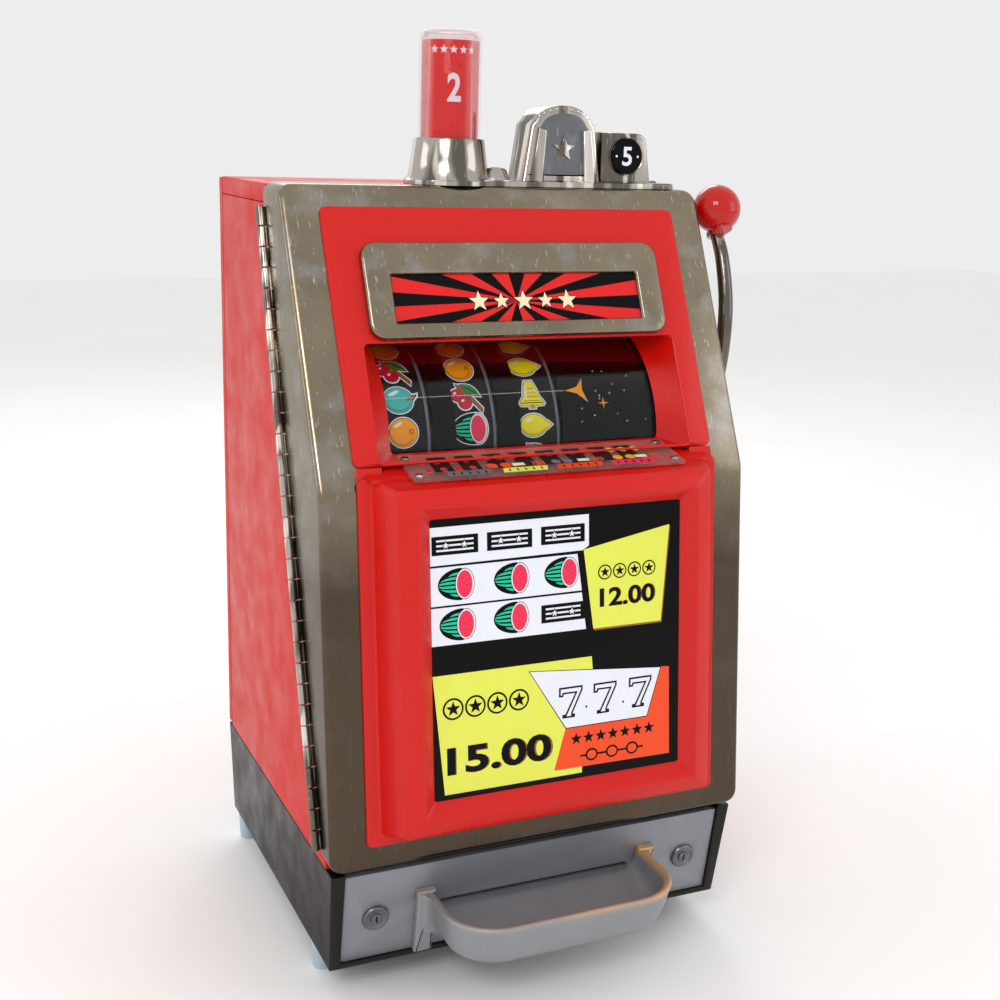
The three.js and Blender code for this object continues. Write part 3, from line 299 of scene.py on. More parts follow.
# painted light: the sleeve is given a faint glow of its own, though it is no lamp
SLEEVE_RED_GLOW = plastic("sleeve_red_painted_glow", rgb(208, 6, 10), 0.3, emission=0.08)
BULB = plastic("bulb", rgb(240, 232, 214), 0.2)
INK = {
    "black": plastic("ink_black", rgb(5, 5, 6), 0.14, specular=0.12),
    "soot": plastic("ink_soot", rgb(16, 16, 18), 0.35, specular=0.2),
}
BRIGHT_INKS = {
    "white": (232, 236, 246),
    "cream": (240, 228, 190),
    "yellow": (226, 232, 88),
    "lemon": (240, 226, 36),
    "lemon_shade": (176, 160, 20),
    "orange": (248, 160, 34),
    "orange_shade": (206, 112, 12),
    "scarlet": (240, 74, 22),
    "ray": (222, 22, 22),
    "crimson": (206, 24, 54),
    "pink": (236, 44, 84),
    "teal": (28, 196, 158),
    "turquoise": (72, 188, 184),
    "turquoise_shade": (32, 136, 138),
    "leaf": (46, 128, 58),
    "stalk": (150, 96, 34),
    "grey": (104, 106, 116),
}
for ink_name, ink_tone in BRIGHT_INKS.items():
    INK[ink_name] = plastic(f"ink_{ink_name}", rgb(*ink_tone), 0.2, coat=0.1)
PANE = clear("clear_pane", (0.93, 0.94, 0.94, 1))
SMOKE = clear("smoky_acrylic", (0.9, 0.86, 0.84, 1), 0.05, haze=0.12, haze_colour=(0.8, 0.55, 0.5, 1))
FROST = clear("tube_acrylic", (0.97, 0.93, 0.93, 1), 0.03, haze=0.01, haze_colour=(0.95, 0.8, 0.8, 1))
EDGE_LIGHT = clear("acrylic_edge", (0.9, 0.88, 0.86, 1), 0.2, haze=0.55, haze_colour=(0.8, 0.76, 0.72, 1))


# ---- mesh building


class Shape:
    """Faces in millimetres, each with one of the piece's finishes."""

    def __init__(self, *finishes):
        self.finishes = list(finishes)
        self.points = []
        self.faces = []
        self.slots = []

    def slot_of(self, finish):
        if finish not in self.finishes:
            self.finishes.append(finish)
        return self.finishes.index(finish)

    def add(self, points, faces, finish=None, face=LEVEL):
        base = len(self.points)
        self.points += [face @ Vector(point) for point in points]
        self.faces += [[base + i for i in polygon] for polygon in faces]
        self.slots += [self.slot_of(finish) if finish else 0] * len(faces)

    def loft(self, rings, finish=None, face=LEVEL, closed=False):
        """A skin over rings with equal numbers of points, capped or closed on itself."""
        count = len(rings[0])
        points = [point for ring in rings for point in ring]
        faces = []
        pairs = len(rings) if closed else len(rings) - 1
        for r in range(pairs):
            a, b = r * count, (r + 1) % len(rings) * count
            faces += [(a + i, a + (i + 1) % count, b + (i + 1) % count, b + i) for i in range(count)]
        if not closed:
            faces.append(list(range(count))[::-1])
            faces.append([(len(rings) - 1) * count + i for i in range(count)])
        self.add(points, faces, finish, face)

    def turn(self, profile, face=LEVEL, finish=None, steps=48):
        """A profile of (radius, height) turned about the z axis of the face."""
        rings = []
        for radius, height in profile:
            angles = [2 * math.pi * i / steps for i in range(steps)]
            rings.append([(radius * math.cos(a), radius * math.sin(a), height) for a in angles])
        closed = profile[0] == profile[-1]
        self.loft(rings[:-1] if closed else rings, finish, face, closed)

    def slab(self, outline, back, front, rounding=0.0, finish=None, face=LEVEL, steps=3):
        """An (x, z) outline between two depths, with its front edge rounded."""
        rings = [[(x, back, z) for x, z in outline]]
        for i in range(steps + 1 if rounding else 1):
            turn = math.pi / 2 * i / steps
            inset = rounding * (1 - math.cos(turn))
            depth = front + rounding * (1 - math.sin(turn))
            rings.append([(x, depth, z) for x, z in offset(outline, -inset)])
        self.loft(rings, finish, face)

    def tube(self, path, radii, finish=None, sides=20):
        """A round bar along a path that stays in a plane across x."""
        rings = []
        for i, point in enumerate(path):
            before, after = path[max(i - 1, 0)], path[min(i + 1, len(path) - 1)]
            along = (Vector(after) - Vector(before)).normalized()
            across = Vector((1, 0, 0))
            up = along.cross(across).normalized()
            ring = []
            for k in range(sides):
                a = 2 * math.pi * k / sides
                ring.append(Vector(point) + radii[i] * (math.cos(a) * across + math.sin(a) * up))
            rings.append(ring)
        self.loft(rings, finish)


def offset(outline, distance):
    """A closed outline moved out by a distance, or in if it is negative."""
    area = sum(a[0] * b[1] - b[0] * a[1] for a, b in zip(outline, outline[1:] + outline[:1]))
    side = 1 if area > 0 else -1
    result = []
    count = len(outline)
    for i in range(count):
        p, q, r = (Vector(outline[(i + k) % count]) for k in (-1, 0, 1))
        first, second = (q - p), (r - q)
        if first.length < 1e-6 or second.length < 1e-6:
            result.append(tuple(q))
            continue
        n1 = Vector((first.y, -first.x)).normalized() * side
        n2 = Vector((second.y, -second.x)).normalized() * side
        push = distance / max(0.6, 1 + n1.dot(n2))
        result.append((q.x + (n1.x + n2.x) * push, q.y + (n1.y + n2.y) * push))
    return result


def rounded(half, low, high, radius, steps=4, stops=(), middle=0.0):
    """Outline of a rectangle with round corners, with extra points at some heights on both sides."""
    def corner(x, z, start):
        angles = [math.radians(start + 90 * i / steps) for i in range(steps + 1)]
        return [(x + radius * math.cos(a), z + radius * math.sin(a)) for a in angles]
    right, left = middle + half, middle - half
    return (
        corner(right - radius, low + radius, -90)
        + [(right, z) for z in stops]
        + corner(right - radius, high - radius, 0)
        + corner(left + radius, high - radius, 90)
        + [(left, z) for z in reversed(stops)]
        + corner(left + radius, low + radius, 180)
    )


def at(outline, out):
    """Puts an (x, z) outline at a height out of its face."""
    return [(x, -out, z) for x, z in outline]


def new_object(name, data):
    made = bpy.data.objects.new(name, data)
    bpy.context.scene.collection.objects.link(made)
    return made


def piece(name, shape, body, replaces=(), sharp=35):
    """Makes the object, with edges past an angle kept sharp, and hangs it on its body."""
    mesh = bpy.data.meshes.new(name)
    mesh.from_pydata([TO_ROW @ Vector(p) for p in shape.points], [], shape.faces)
    for finish in shape.finishes:
        mesh.materials.append(finish.material)
    mesh.polygons.foreach_set("material_index", shape.slots)
    work = bmesh.new()
    work.from_mesh(mesh)
    bmesh.ops.remove_doubles(work, verts=work.verts, dist=1e-6)
    bmesh.ops.dissolve_degenerate(work, edges=work.edges, dist=1e-7)
    bmesh.ops.recalc_face_normals(work, faces=work.faces)
    for polygon in work.faces:
        polygon.smooth = True
    for edge in work.edges:
        edge.smooth = edge.calc_face_angle(0) < math.radians(sharp)
    work.to_mesh(mesh)
    work.free()
    made = new_object(name, mesh)
    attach(made, body)
    if replaces:
        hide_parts(*replaces)


def dress(node, finish, bevel, angle):
    """Gives a carried-over CAD node its material, welded faces and softened edges."""
    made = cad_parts[node]
    made.data.materials.clear()
    made.data.materials.append(finish.material)
    for polygon in made.data.polygons:
        polygon.use_smooth = True
    weld = made.modifiers.new("weld", "WELD")
    weld.merge_threshold = 1e-6
    flat = made.modifiers.new("flat", "DECIMATE")
    flat.decimate_type = "DISSOLVE"
    flat.angle_limit = math.radians(1)
    edges = made.modifiers.new("edges", "BEVEL")
    edges.width = bevel * MM
    edges.segments = 2
    edges.limit_method = "ANGLE"
    edges.angle_limit = math.radians(angle)
    edges.harden_normals = True
    edges.use_clamp_overlap = True


# ---- printed shapes


def flat_on(face, out, x=0.0, up=0.0):
    """Maps print coordinates to a flat face, at a height out of it."""
    return lambda u, v, h: face @ Vector((x + u, -out - h, up + v))


def round_on(x, axis, radius, angle):
    """Maps print coordinates to a cylinder about an x axis through (y, z); v runs up its front."""
    def spot(u, v, h):
        turn = math.radians(angle) + v / radius
        reach_out = radius + h
        return Vector((x + u, axis[0] - reach_out * math.cos(turn), axis[1] + reach_out * math.sin(turn)))
    return spot


LAYER = 0.07  # millimetres from one printed layer to the next


def raise_print(p, work, ink, level):
    """Cuts flat faces into strips that can follow the surface, and gives them their thickness."""
    if p.strip:
        low = min(v.co[p.curved] for v in work.verts)
        high = max(v.co[p.curved] for v in work.verts)
        normal = Vector((0, 0, 0))
        normal[p.curved] = 1
        cut = low + p.strip
        while cut < high:
            everything = work.verts[:] + work.edges[:] + work.faces[:]
            bmesh.ops.bisect_plane(work, geom=everything, plane_co=normal * cut, plane_no=normal)
            cut += p.strip
    top = bmesh.ops.extrude_face_region(work, geom=work.faces[:], use_keep_orig=True)
    for item in top["geom"]:
        if isinstance(item, bmesh.types.BMVert):
            item.co.z = 1
    work.verts.index_update()
    points = [p.spot(v.co.x, v.co.y, p.base + LAYER * level * v.co.z) for v in work.verts]
    p.shape.add(points, [[v.index for v in polygon.verts] for polygon in work.faces], INK[ink])
    work.free()


def ellipse(x, y, rx, ry, count=24, tilt=0.0, start=0.0, sweep=360.0):
    """Points round an ellipse, or part of one, tilted by some degrees."""
    c, s = math.cos(math.radians(tilt)), math.sin(math.radians(tilt))
    points = []
    whole = sweep >= 360
    for i in range(count):
        a = math.radians(start + sweep * i / (count if whole else count - 1))
        px, py = rx * math.cos(a), ry * math.sin(a)
        points.append((x + px * c - py * s, y + px * s + py * c))
    return points


def moved(outline, x, y):
    return [(x + px, y + py) for px, py in outline]


def star_outline(radius, points=5, inner=0.42):
    result = []
    for i in range(points * 2):
        r = radius if i % 2 == 0 else radius * inner
        a = math.radians(90 + 180 * i / points)
        result.append((r * math.cos(a), r * math.sin(a)))
    return result


def bar_outline(width, height):
    x, y = width / 2, height / 2
    return [(-x, -y), (x, -y), (x, y), (-x, y)]


class Print:
    """A set of printed shapes on one surface, cut into strips across its curved direction."""

    def __init__(self, shape, spot, strip=0.0, base=0.0, curved=1):
        self.shape, self.spot, self.strip, self.base, self.curved = shape, spot, strip, base, curved

    def at(self, x, y):
        """The same surface with its own origin."""
        spot = self.spot
        return Print(self.shape, lambda u, v, h: spot(x + u, y + v, h), self.strip, self.base, self.curved)

    def put(self, outline, ink, level=1):
        work = bmesh.new()
        work.faces.new([work.verts.new((x, y, 0)) for x, y in outline])
        raise_print(self, work, ink, level)

    def edged(self, outline, ink):
        """A coloured area with a dark outline and a white border."""
        self.put(offset(outline, 1.5), "white", 1)
        self.put(offset(outline, 0.5), "black", 2)
        self.put(outline, ink, 3)


def draw_orange(p):
    p.edged(ellipse(0, 0, 12.4, 12, 32), "orange")
    p.put(ellipse(-1, -1.2, 10.6, 9.6, 28, 0, 185, 170), "orange_shade", 4)
    p.put(ellipse(-1, 0, 10.4, 9.6, 28, 0, 183, 174), "orange", 5)
    p.put(ellipse(7, 0.5, 1.9, 2.3, 16), "black", 6)
    p.put(ellipse(7, 0.5, 1.3, 1.7, 16), "orange", 7)
    p.put(ellipse(-4.5, 6.8, 4.4, 1.5, 14, 28), "cream", 6)


def draw_plum(p):
    tip = [(9, 3.2), (16, 4.6), (15.4, 2.4), (13, 0), (9, -4)]
    p.put(offset(tip, 1.4), "white", 1)
    p.put(tip, "black", 2)
    p.edged(ellipse(-1, 0, 12.6, 11.4, 32), "turquoise")
    p.put(ellipse(-1, -1.5, 10.8, 8.6, 28, 0, 190, 160), "turquoise_shade", 4)
    p.put(ellipse(-1, -0.2, 10.6, 8.8, 28, 0, 188, 164), "turquoise", 5)
    p.put(ellipse(-4.4, 6.2, 5.4, 1.6, 14, 22), "white", 6)
    p.put([(6, 1.4), (14.6, 3.6), (14.2, 2), (12, 0.6), (6, -1.8)], "stalk", 6)


def leaf_outline(length, width):
    upper = [(length * t, width * math.sin(math.pi * t) * (1 - 0.25 * t)) for t in (0.2, 0.4, 0.6, 0.8)]
    lower = [(x, -y) for x, y in reversed(upper)]
    return [(0.0, 0.0)] + upper + [(length, 0.0)] + lower


def turned(outline, degrees, x, y):
    c, s = math.cos(math.radians(degrees)), math.sin(math.radians(degrees))
    return [(x + px * c - py * s, y + px * s + py * c) for px, py in outline]


def draw_cherries(p):
    leaf = turned(leaf_outline(20, 4.6), -36, -3.4, 11.8)
    branch = [(-8, 12.2), (-4, 11), (13.5, -11), (12.6, -14.8), (9.6, -10.6), (-7, 8.4)]
    fruit = [(-8.4, 1.6), (-2.2, -5.4)]
    p.put(offset(leaf, 1.4), "white", 1)
    p.put(offset(branch, 1.4), "white", 1)
    for x, y in fruit:
        p.put(ellipse(x, y, 7.6, 7.2, 24), "white", 1)
    p.put(offset(branch, 0.4), "black", 2)
    p.put(branch, "stalk", 3)
    p.put(offset(leaf, 0.4), "black", 4)
    p.put(leaf, "leaf", 5)
    p.put(turned(leaf_outline(18, 0.5), -36, -2.6, 11.2), "black", 6)
    for x, y in fruit:
        p.put(ellipse(x, y, 6.3, 5.9, 24), "black", 6)
        p.put(ellipse(x, y, 5.8, 5.4, 24), "crimson", 7)
        p.put(ellipse(x - 1.8, y + 2, 1.6, 1, 12, 30), "white", 8)


def draw_lemon(p):
    outline = ellipse(-1, 0, 12.4, 9.6, 32)
    outline[0] = (16.4, 0)
    outline[1] = (13, 3)
    outline[-1] = (13, -3)
    p.edged(outline, "lemon")
    p.put(ellipse(-1, -1.5, 10.8, 7, 28, 0, 190, 160), "lemon_shade", 4)
    p.put(ellipse(-1, -0.4, 10.6, 7.2, 28, 0, 188, 164), "lemon", 5)
    p.put(ellipse(-5, 4.8, 3.8, 1.2, 14, 22), "cream", 6)


def draw_bell(p):
    right = [(3.4, 12.4), (4.6, 9.5), (6.2, 4), (7.4, -2), (10.8, -7), (11.8, -8.8), (10.6, -10.4)]
    outline = right + [(3.2, -10.6), (2.6, -13), (-2.6, -13), (-3.2, -10.6)] + [
        (-x, y) for x, y in reversed(right)]
    p.edged(outline, "lemon")
    for low in (5.4, 1.6, -2.2, -6):
        width = 5.4 - 0.33 * low
        band = [(-width, low), (width, low), (width + 0.3, low - 1), (-width - 0.3, low - 1)]
        p.put(band, "lemon_shade", 4)
    p.put([(-10.4, -8), (10.4, -8), (10.8, -8.8), (-10.8, -8.8)], "black", 4)
    p.put(ellipse(0, -11.2, 2.2, 1.6, 14), "lemon_shade", 5)
    p.put([(-3.6, 9), (-2.2, 9), (-4.4, -5), (-6.4, -5)], "cream", 5)


def draw_melon(p):
    """A cut melon: striped rind behind, pink flesh with seeds to the right."""
    rind = ellipse(4, 0, 19.8, 13, 22, 0, 90, 180) + [(4.6, -12.9), (4.6, 12.9)]
    p.put(offset(rind, 0.5), "black", 2)
    p.put(rind, "black", 3)
    for i in range(6):
        top = -11 + 22 * (i + 0.15) / 6
        low = -11 + 22 * (i + 0.72) / 6
        stripe = []
        for height, direction in ((top, 1), (low, -1)):
            edge = 4 - 19.4 * math.sqrt(1 - (height / 12.6) ** 2)
            run = [edge + (4.6 - edge) * t for t in (0.0, 0.2, 0.45, 0.75, 1.0)]
            squeeze = [0.62, 0.84, 0.95, 1.0, 1.0]
            row = [(x, height * q) for x, q in zip(run, squeeze)]
            stripe += row if direction > 0 else row[::-1]
        p.put(stripe, "teal", 4)
    p.put(ellipse(7.4, 0, 8.6, 13.1, 30), "black", 5)
    p.put(ellipse(7.4, 0, 8.1, 12.6, 30), "white", 6)
    p.put(ellipse(7.2, 0, 6.9, 11.4, 30), "pink", 7)
    for x, y in ((5, 5), (8, 7), (10, 3), (6.4, 1), (9.4, -1), (4.4, -3.4), (7.4, -4.8), (10, -6), (6, -8)):
        p.put(ellipse(x, y, 0.5, 0.7, 8), "crimson", 8)


def draw_reel_melon(p):
    outline = ellipse(4, 0, 19.8, 13, 22, 0, 90, 180) + ellipse(7.4, 0, 8.6, 13.1, 16, 0, -90, 180)
    p.put(offset(outline, 1.2), "white", 1)
    draw_melon(p)


def draw_bar(p, width=41.0, height=15.6):
    """A dark plate with a generic pattern of bars."""
    p.put(bar_outline(width, height), "black", 2)
    for dy in (height * 0.26, 0, -height * 0.26):
        p.put(moved(bar_outline(width * 0.8, height * 0.1), 0, dy), "white", 3)
    for dx in (-1, 1):
        p.put(moved(star_outline(height * 0.3), dx * width * 0.2, 0), "black", 4)
        p.put(moved(star_outline(height * 0.2), dx * width * 0.2, 0), "white", 5)


def draw_reel_bar(p):
    p.put(bar_outline(36, 17), "white", 1)
    draw_bar(p, 34, 15)


SEVEN = [
    (0, 27.5), (22.6, 27.5), (22.6, 23.6), (13.4, 4), (13.4, 3.2), (15.6, 3.2), (15.6, 0),
    (3.6, 0), (3.6, 3.2), (6.4, 3.2), (15.6, 21.4), (4.6, 21.4), (4.2, 19.2), (0, 19.2),
]


def draw_seven(p, x, y, lean):
    """A slab-footed 7 in outline."""
    outline = [(x + px + py * lean, y + py) for px, py in SEVEN]
    p.put(outline, "black", 4)
    p.put(offset(outline, -1.6), "white", 5)


def numerals(text, height, bold):
    """Points and faces of a number set in Blender's own font, centred, with a height in millimetres."""
    curve = bpy.data.curves.new("numeral", "FONT")
    curve.body = text
    curve.align_x = "CENTER"
    curve.align_y = "CENTER"
    curve.offset = bold
    curve.resolution_u = 4
    holder = new_object("numeral", curve)
    bpy.context.view_layer.update()
    mesh = bpy.data.meshes.new_from_object(holder)
    bpy.data.objects.remove(holder)
    bpy.data.curves.remove(curve)
    points = [v.co.copy() for v in mesh.vertices]
    faces = [list(polygon.vertices) for polygon in mesh.polygons]
    bpy.data.meshes.remove(mesh)
    corners = [[pick(point[axis] for point in points) for axis in (0, 1)] for pick in (min, max)]
    x, y = centre(corners)
    scale = height / (corners[1][1] - corners[0][1])
    return [((p.x - x) * scale, (p.y - y) * scale) for p in points], faces


def print_numerals(p, text, x, y, height, ink, level, bold, width=None):
    """Sets a number as a printed area, stretched to a width if one is given."""
    points, faces = numerals(text, height, bold)
    if width:
        stretch = width / (max(q[0] for q in points) - min(q[0] for q in points))
        points = [(q[0] * stretch, q[1]) for q in points]
    work = bmesh.new()
    made = [work.verts.new((x + q[0], y + q[1], 0)) for q in points]
    for polygon in faces:
        work.faces.new([made[i] for i in polygon])
    bmesh.ops.remove_doubles(work, verts=work.verts, dist=1e-4)
    raise_print(p, work, ink, level)


# ---- cabinet


CARRIED_OVER = (  # finish, slot, bevel in millimetres, least angle of a bevelled edge, nodes
    (RED_PANEL, "red_panel_paint", 1.2, 40, ("side_left", "side_right", "cabinet_top", "rear_door")),
    (BLACK_PAINT, "black_plinth", 1.5, 40, ("plinth", "cabinet_floor")),
    (HAMMERED, "cast_aluminium", 1.4, 40, ("front_plate",)),
    (ZINC, "mech_steel", 0.4, 50, (
        "cash_box", "payout_chute", "mech_base", "mech_frame_left", "mech_frame_right", "reel_shaft",
        "lever_rod", "kicker_bail", "handle_shaft", "handle_spring", "door_latch", "hinge_pin", "coin_chute",
    )),
    (BRASS, "brass", 0.3, 50, ("coin_tube", "payout_slide", "stop_lever_1", "stop_lever_2", "stop_lever_3")),
    (RAIL_WOOD, "rail_wood", 1.0, 40, ("mech_rail_left", "mech_rail_right")),
    (WHEEL_METAL, "reel_aluminium", 0.3, 50, ("reel_wheel_1", "reel_wheel_2", "reel_wheel_3")),
    (BRIGHT, "chrome", 0.6, 50, ("rear_lock",)),
)


def make_cabinet():
    for finish, slot, bevel, angle, nodes in CARRIED_OVER:
        for node in nodes:
            dress(node, finish, bevel, angle)


def make_feet():
    for end in ("front", "back"):
        for side in ("left", "right"):
            node = f"foot_{end}_{side}"
            low, high = reach(node)
            middle = Matrix.Translation((*centre((low, high))[:2], 0))
            radius = (high[0] - low[0]) / 2
            shape = Shape(RUBBER_PALE)
            shape.turn([
                (0, low[2]), (radius - 3, low[2]), (radius - 1.4, low[2] + 0.5), (radius - 0.9, low[2] + 2),
                (radius - 0.2, high[2] - 6), (radius, high[2] - 5), (radius, high[2] - 0.6),
                (radius - 0.6, high[2]), (0, high[2]),
            ], middle)
            piece(f"{node}_turned", shape, "cabinet", [node])


PLATE_Y = -6.5  # depth of the front plate's face at its foot
PLATE = leaning(PLATE_LEAN, PLATE_Y, 0)


def make_locks():
    for side in ("left", "right"):
        node = f"lock_{side}"
        low, high = reach(node, PLATE)
        axis_x = centre((low, high))[0]
        radius = (high[0] - low[0]) / 2
        axis_z = high[2] - radius
        out = Matrix.Translation((axis_x, 0, axis_z)) @ OUTWARD
        shape = Shape(BRIGHT_DULL, INK["black"])
        shape.turn([
            (0, -13), (9, -13), (9, HAIR), (radius, HAIR), (radius, 1.6), (radius - 0.7, 2.6),
            (radius - 2.2, 3), (radius - 3, 2.6), (radius - 3.8, 2.3), (5.4, 2.3), (5, 3.3), (4.2, 3.6),
            (0, 3.6),
        ], PLATE @ out)
        # painted shade: a thin black plate on the barrel's face stands for the dark of the key slot
        keyhole_shade = moved(bar_outline(1.5, 6.4), axis_x, axis_z)
        shape.slab(keyhole_shade, -3.5, -3.75, face=PLATE, finish=INK["black"])
        shape.slab(rounded(6, low[2], axis_z + 7, 2.5, middle=axis_x), 12, 9, face=PLATE)
        piece(f"{node}_barrel", shape, node, [node], sharp=30)


def make_tray():
    """Cast coin cup with a rolled lip, on two ears against the plate."""
    low, high = reach("coin_tray")
    half, front, top = high[0] - 9, low[1], high[2]
    rim = top - 4
    ends = 6

    def wall_y(z):
        """Depth of the plate's face at a height."""
        return PLATE_Y - HAIR - z * math.tan(math.radians(-PLATE_LEAN))

    def floor_z(y):
        """The floor falls from the slot towards the front."""
        return 46.8 - min(1.0, max(0.0, -20 - y) / 52) * 15.5

    def ring(inset, ahead, corner, z_of):
        x, y = half - inset, front + ahead
        points = []
        back = wall_y(50)
        for i in range(ends):
            points.append((x, back + (y + corner - back) * i / ends))
        for i in range(13):
            a = math.radians(90 * i / 12)
            points.append((x - corner + corner * math.cos(a), y + corner - corner * math.sin(a)))
        run = points + [(-px, py) for px, py in reversed(points)]
        placed = []
        for px, py in run:
            z = z_of(py)
            placed.append((px, py if py < back - 0.01 else wall_y(z), z))
        return placed

    rings = [
        ring(19, 27, 32, lambda y: 23.4),
        ring(14, 19, 36, lambda y: 24.2),
        ring(9.5, 12.5, 40, lambda y: 28),
        ring(6, 8, 43, lambda y: 35),
        ring(3, 4, 45, lambda y: 46),
        ring(1, 1.6, 46, lambda y: rim - 8),
        ring(0.2, 0.4, 46, lambda y: rim - 4),
        ring(0, 0, 46, lambda y: rim - 2),
        ring(0.7, 0.8, 45.5, lambda y: rim - 0.5),
        ring(2.6, 2.6, 44, lambda y: rim + 0.3),
        ring(4.8, 4.8, 42, lambda y: rim - 0.2),
        ring(6.6, 6.6, 40, lambda y: rim - 2),
        ring(7.6, 7.8, 39, lambda y: max(rim - 6, floor_z(y) + 8)),
        ring(9.5, 10, 38, lambda y: max(rim - 15, floor_z(y) + 6)),
        ring(13.5, 15, 35, lambda y: max(rim - 26, floor_z(y) + 2.6)),
        ring(20, 22, 30, lambda y: floor_z(y) + 0.6),
        ring(27, 29, 24, floor_z),
    ]
    count = len(rings[0])
    points = [point for part in rings for point in part]
    faces = []
    for r in range(len(rings) - 1):
        a, b = r * count, (r + 1) * count
        faces += [(a + i, a + i + 1, b + i + 1, b + i) for i in range(count - 1)]
    for first in (0, (len(rings) - 1) * count):
        faces += [
            (first + i, first + i + 1, first + count - 2 - i, first + count - 1 - i)
            for i in range(count // 2 - 1)
        ]
    starts = [r * count for r in range(len(rings))]
    faces.append(starts + [start + count - 1 for start in reversed(starts)])
    shape = Shape(TRAY_METAL)
    shape.add(points, faces)
    piece("coin_tray_cup", shape, "cabinet", ["coin_tray"], sharp=50)
    ears = Shape(TRAY_METAL)
    for side in (-1, 1):
        outline = rounded(8.5, low[2], top, 1.2, middle=side * (high[0] - 8.5))
        ears.slab(outline, -HAIR, -7, 2.4, face=PLATE, steps=4)
        sections = []
        insets = ((25, 13), (29, 9), (36, 5.6), (46, 3), (rim - 8, 1.2), (rim - 3, 0.6), (rim - 1.5, 1.6))
        for z, inset in insets:
            root, outer, inner = wall_y(z) - 5.8, high[0] - 2.6, half - inset - 0.6
            section = [(side * (inner - 4), root + 2, z), (side * outer, root + 2, z)]
            for k in range(9):
                a = math.radians(90 * k / 8)
                x = outer - (outer - inner) * math.sin(a)
                section.append((side * x, root - 20 + 20 * math.cos(a), z))
            sections.append(section + [(side * (inner - 4), root - 20, z)])
        ears.loft(sections)
    piece("coin_tray_ears", ears, "cabinet", sharp=30)


def tray_metal():
    """The plate's finish, with a warm tone in patches along the lip, stronger towards the right."""
    finish = casting("tray_casting", rgb(150, 152, 157), 0.42, 0.45)
    rim = (TO_ROW @ Vector((0, 0, reach("coin_tray")[1][2] - 11))).z
    lip = finish.span(finish.along("Z"), 0, 1, rim, rim + 0.006)
    right = finish.span(finish.along("X"), 0.15, 1, ORIGIN.x - 0.05, ORIGIN.x + 0.1)
    spots = finish.span(finish.noise(40, 4), 0.45, 1, 0.3, 0.6)
    return finish.tint(finish.product(finish.product(lip, right), spots), rgb(214, 170, 118))


TRAY_METAL = tray_metal()


# ---- door shell and bezels


def door_front(z, soft=5.0):
    """Depth of the door's front face at a height, with a softened bend."""
    lower, upper = math.tan(math.radians(LOWER_LEAN)), math.tan(math.radians(UPPER_LEAN))
    t = z - BEND_Z
    if abs(t) >= soft:
        return t * (upper if t > 0 else lower)
    return -lower * soft + lower * (t + soft) + (upper - lower) * (t + soft) ** 2 / (4 * soft)


door_low, door_high = reach("door_frame")
upper_low, upper_high = reach("upper_bezel", UPPER)
lower_low = reach("lower_bezel", LOWER)[0]
DOOR_HALF = door_high[0]
BEZEL_HALF = upper_high[0]
HINGE_FOOT_Y = -8  # depth of the hinge line at the door's lower edge


def hinge_y(z):
    return HINGE_FOOT_Y + (z - door_low[2]) * math.tan(math.radians(HINGE_LEAN))


def make_door_shell():
    z0, z1 = door_low[2], door_high[2]
    overlap = 11
    wall = 4
    stops = [BEND_Z + step for step in (-5, -2.5, 0, 2.5, 5)]

    def ring(inset, depth_of, radius):
        outline = rounded(DOOR_HALF - inset, z0 + inset, z1 - inset, radius, 6, stops)
        return [(x, depth_of(z), z) for x, z in outline]

    opening_low = (LOWER @ Vector((0, 0, lower_low[2] + overlap))).z
    opening_high = (UPPER @ Vector((0, 0, upper_high[2] - overlap))).z
    hole = rounded(BEZEL_HALF - overlap, opening_low, opening_high, 4, 6, stops)
    edge = 5
    rings = [ring(0, hinge_y, 12)]
    for i in range(6):
        a = math.pi / 2 * i / 5
        inset, push = edge * (1 - math.cos(a)), edge * (1 - math.sin(a))
        rings.append(ring(inset, lambda z, push=push: door_front(z) + push, 12 - inset * 0.8))
    rings.append([(x, door_front(z), z) for x, z in hole])
    rings.append([(x, door_front(z) + wall, z) for x, z in hole])
    rings.append(ring(wall, lambda z: door_front(z) + wall, 8))
    rings.append(ring(wall, hinge_y, 8))
    shape = Shape(DOOR_METAL)
    shape.loft(rings, closed=True)
    piece("door_shell", shape, "door", ["door_frame"], sharp=40)


name_low, name_high = reach("name_frame", UPPER)
FLANGE = 3.4  # how far the bezels' flanges stand out of the door
MOUTH_HALF = BEZEL_HALF - 22.5
MOUTH_TOP = name_low[2] - 2
reel_low, reel_high = reach("reel_strip_1")
REEL_AXIS = tuple(centre((reel_low, reel_high))[1:])
REEL_R = (reel_high[2] - reel_low[2]) / 2
GLASS_R = REEL_R + 7
GLASS_T = 2.5
GLASS_HALF = reach("reel_glass")[1][0] - 5
ARC_LOW, ARC_HIGH = 4, 74  # degrees above level where the bowed glass starts and ends


def on_arc(x, share, radius):
    """A point on the bowed glass's cylinder, share 0 at its lower edge and 1 at its upper one."""
    a = math.radians(ARC_LOW + (ARC_HIGH - ARC_LOW) * share)
    return Vector((x, REEL_AXIS[0] - radius * math.cos(a), REEL_AXIS[1] + radius * math.sin(a)))


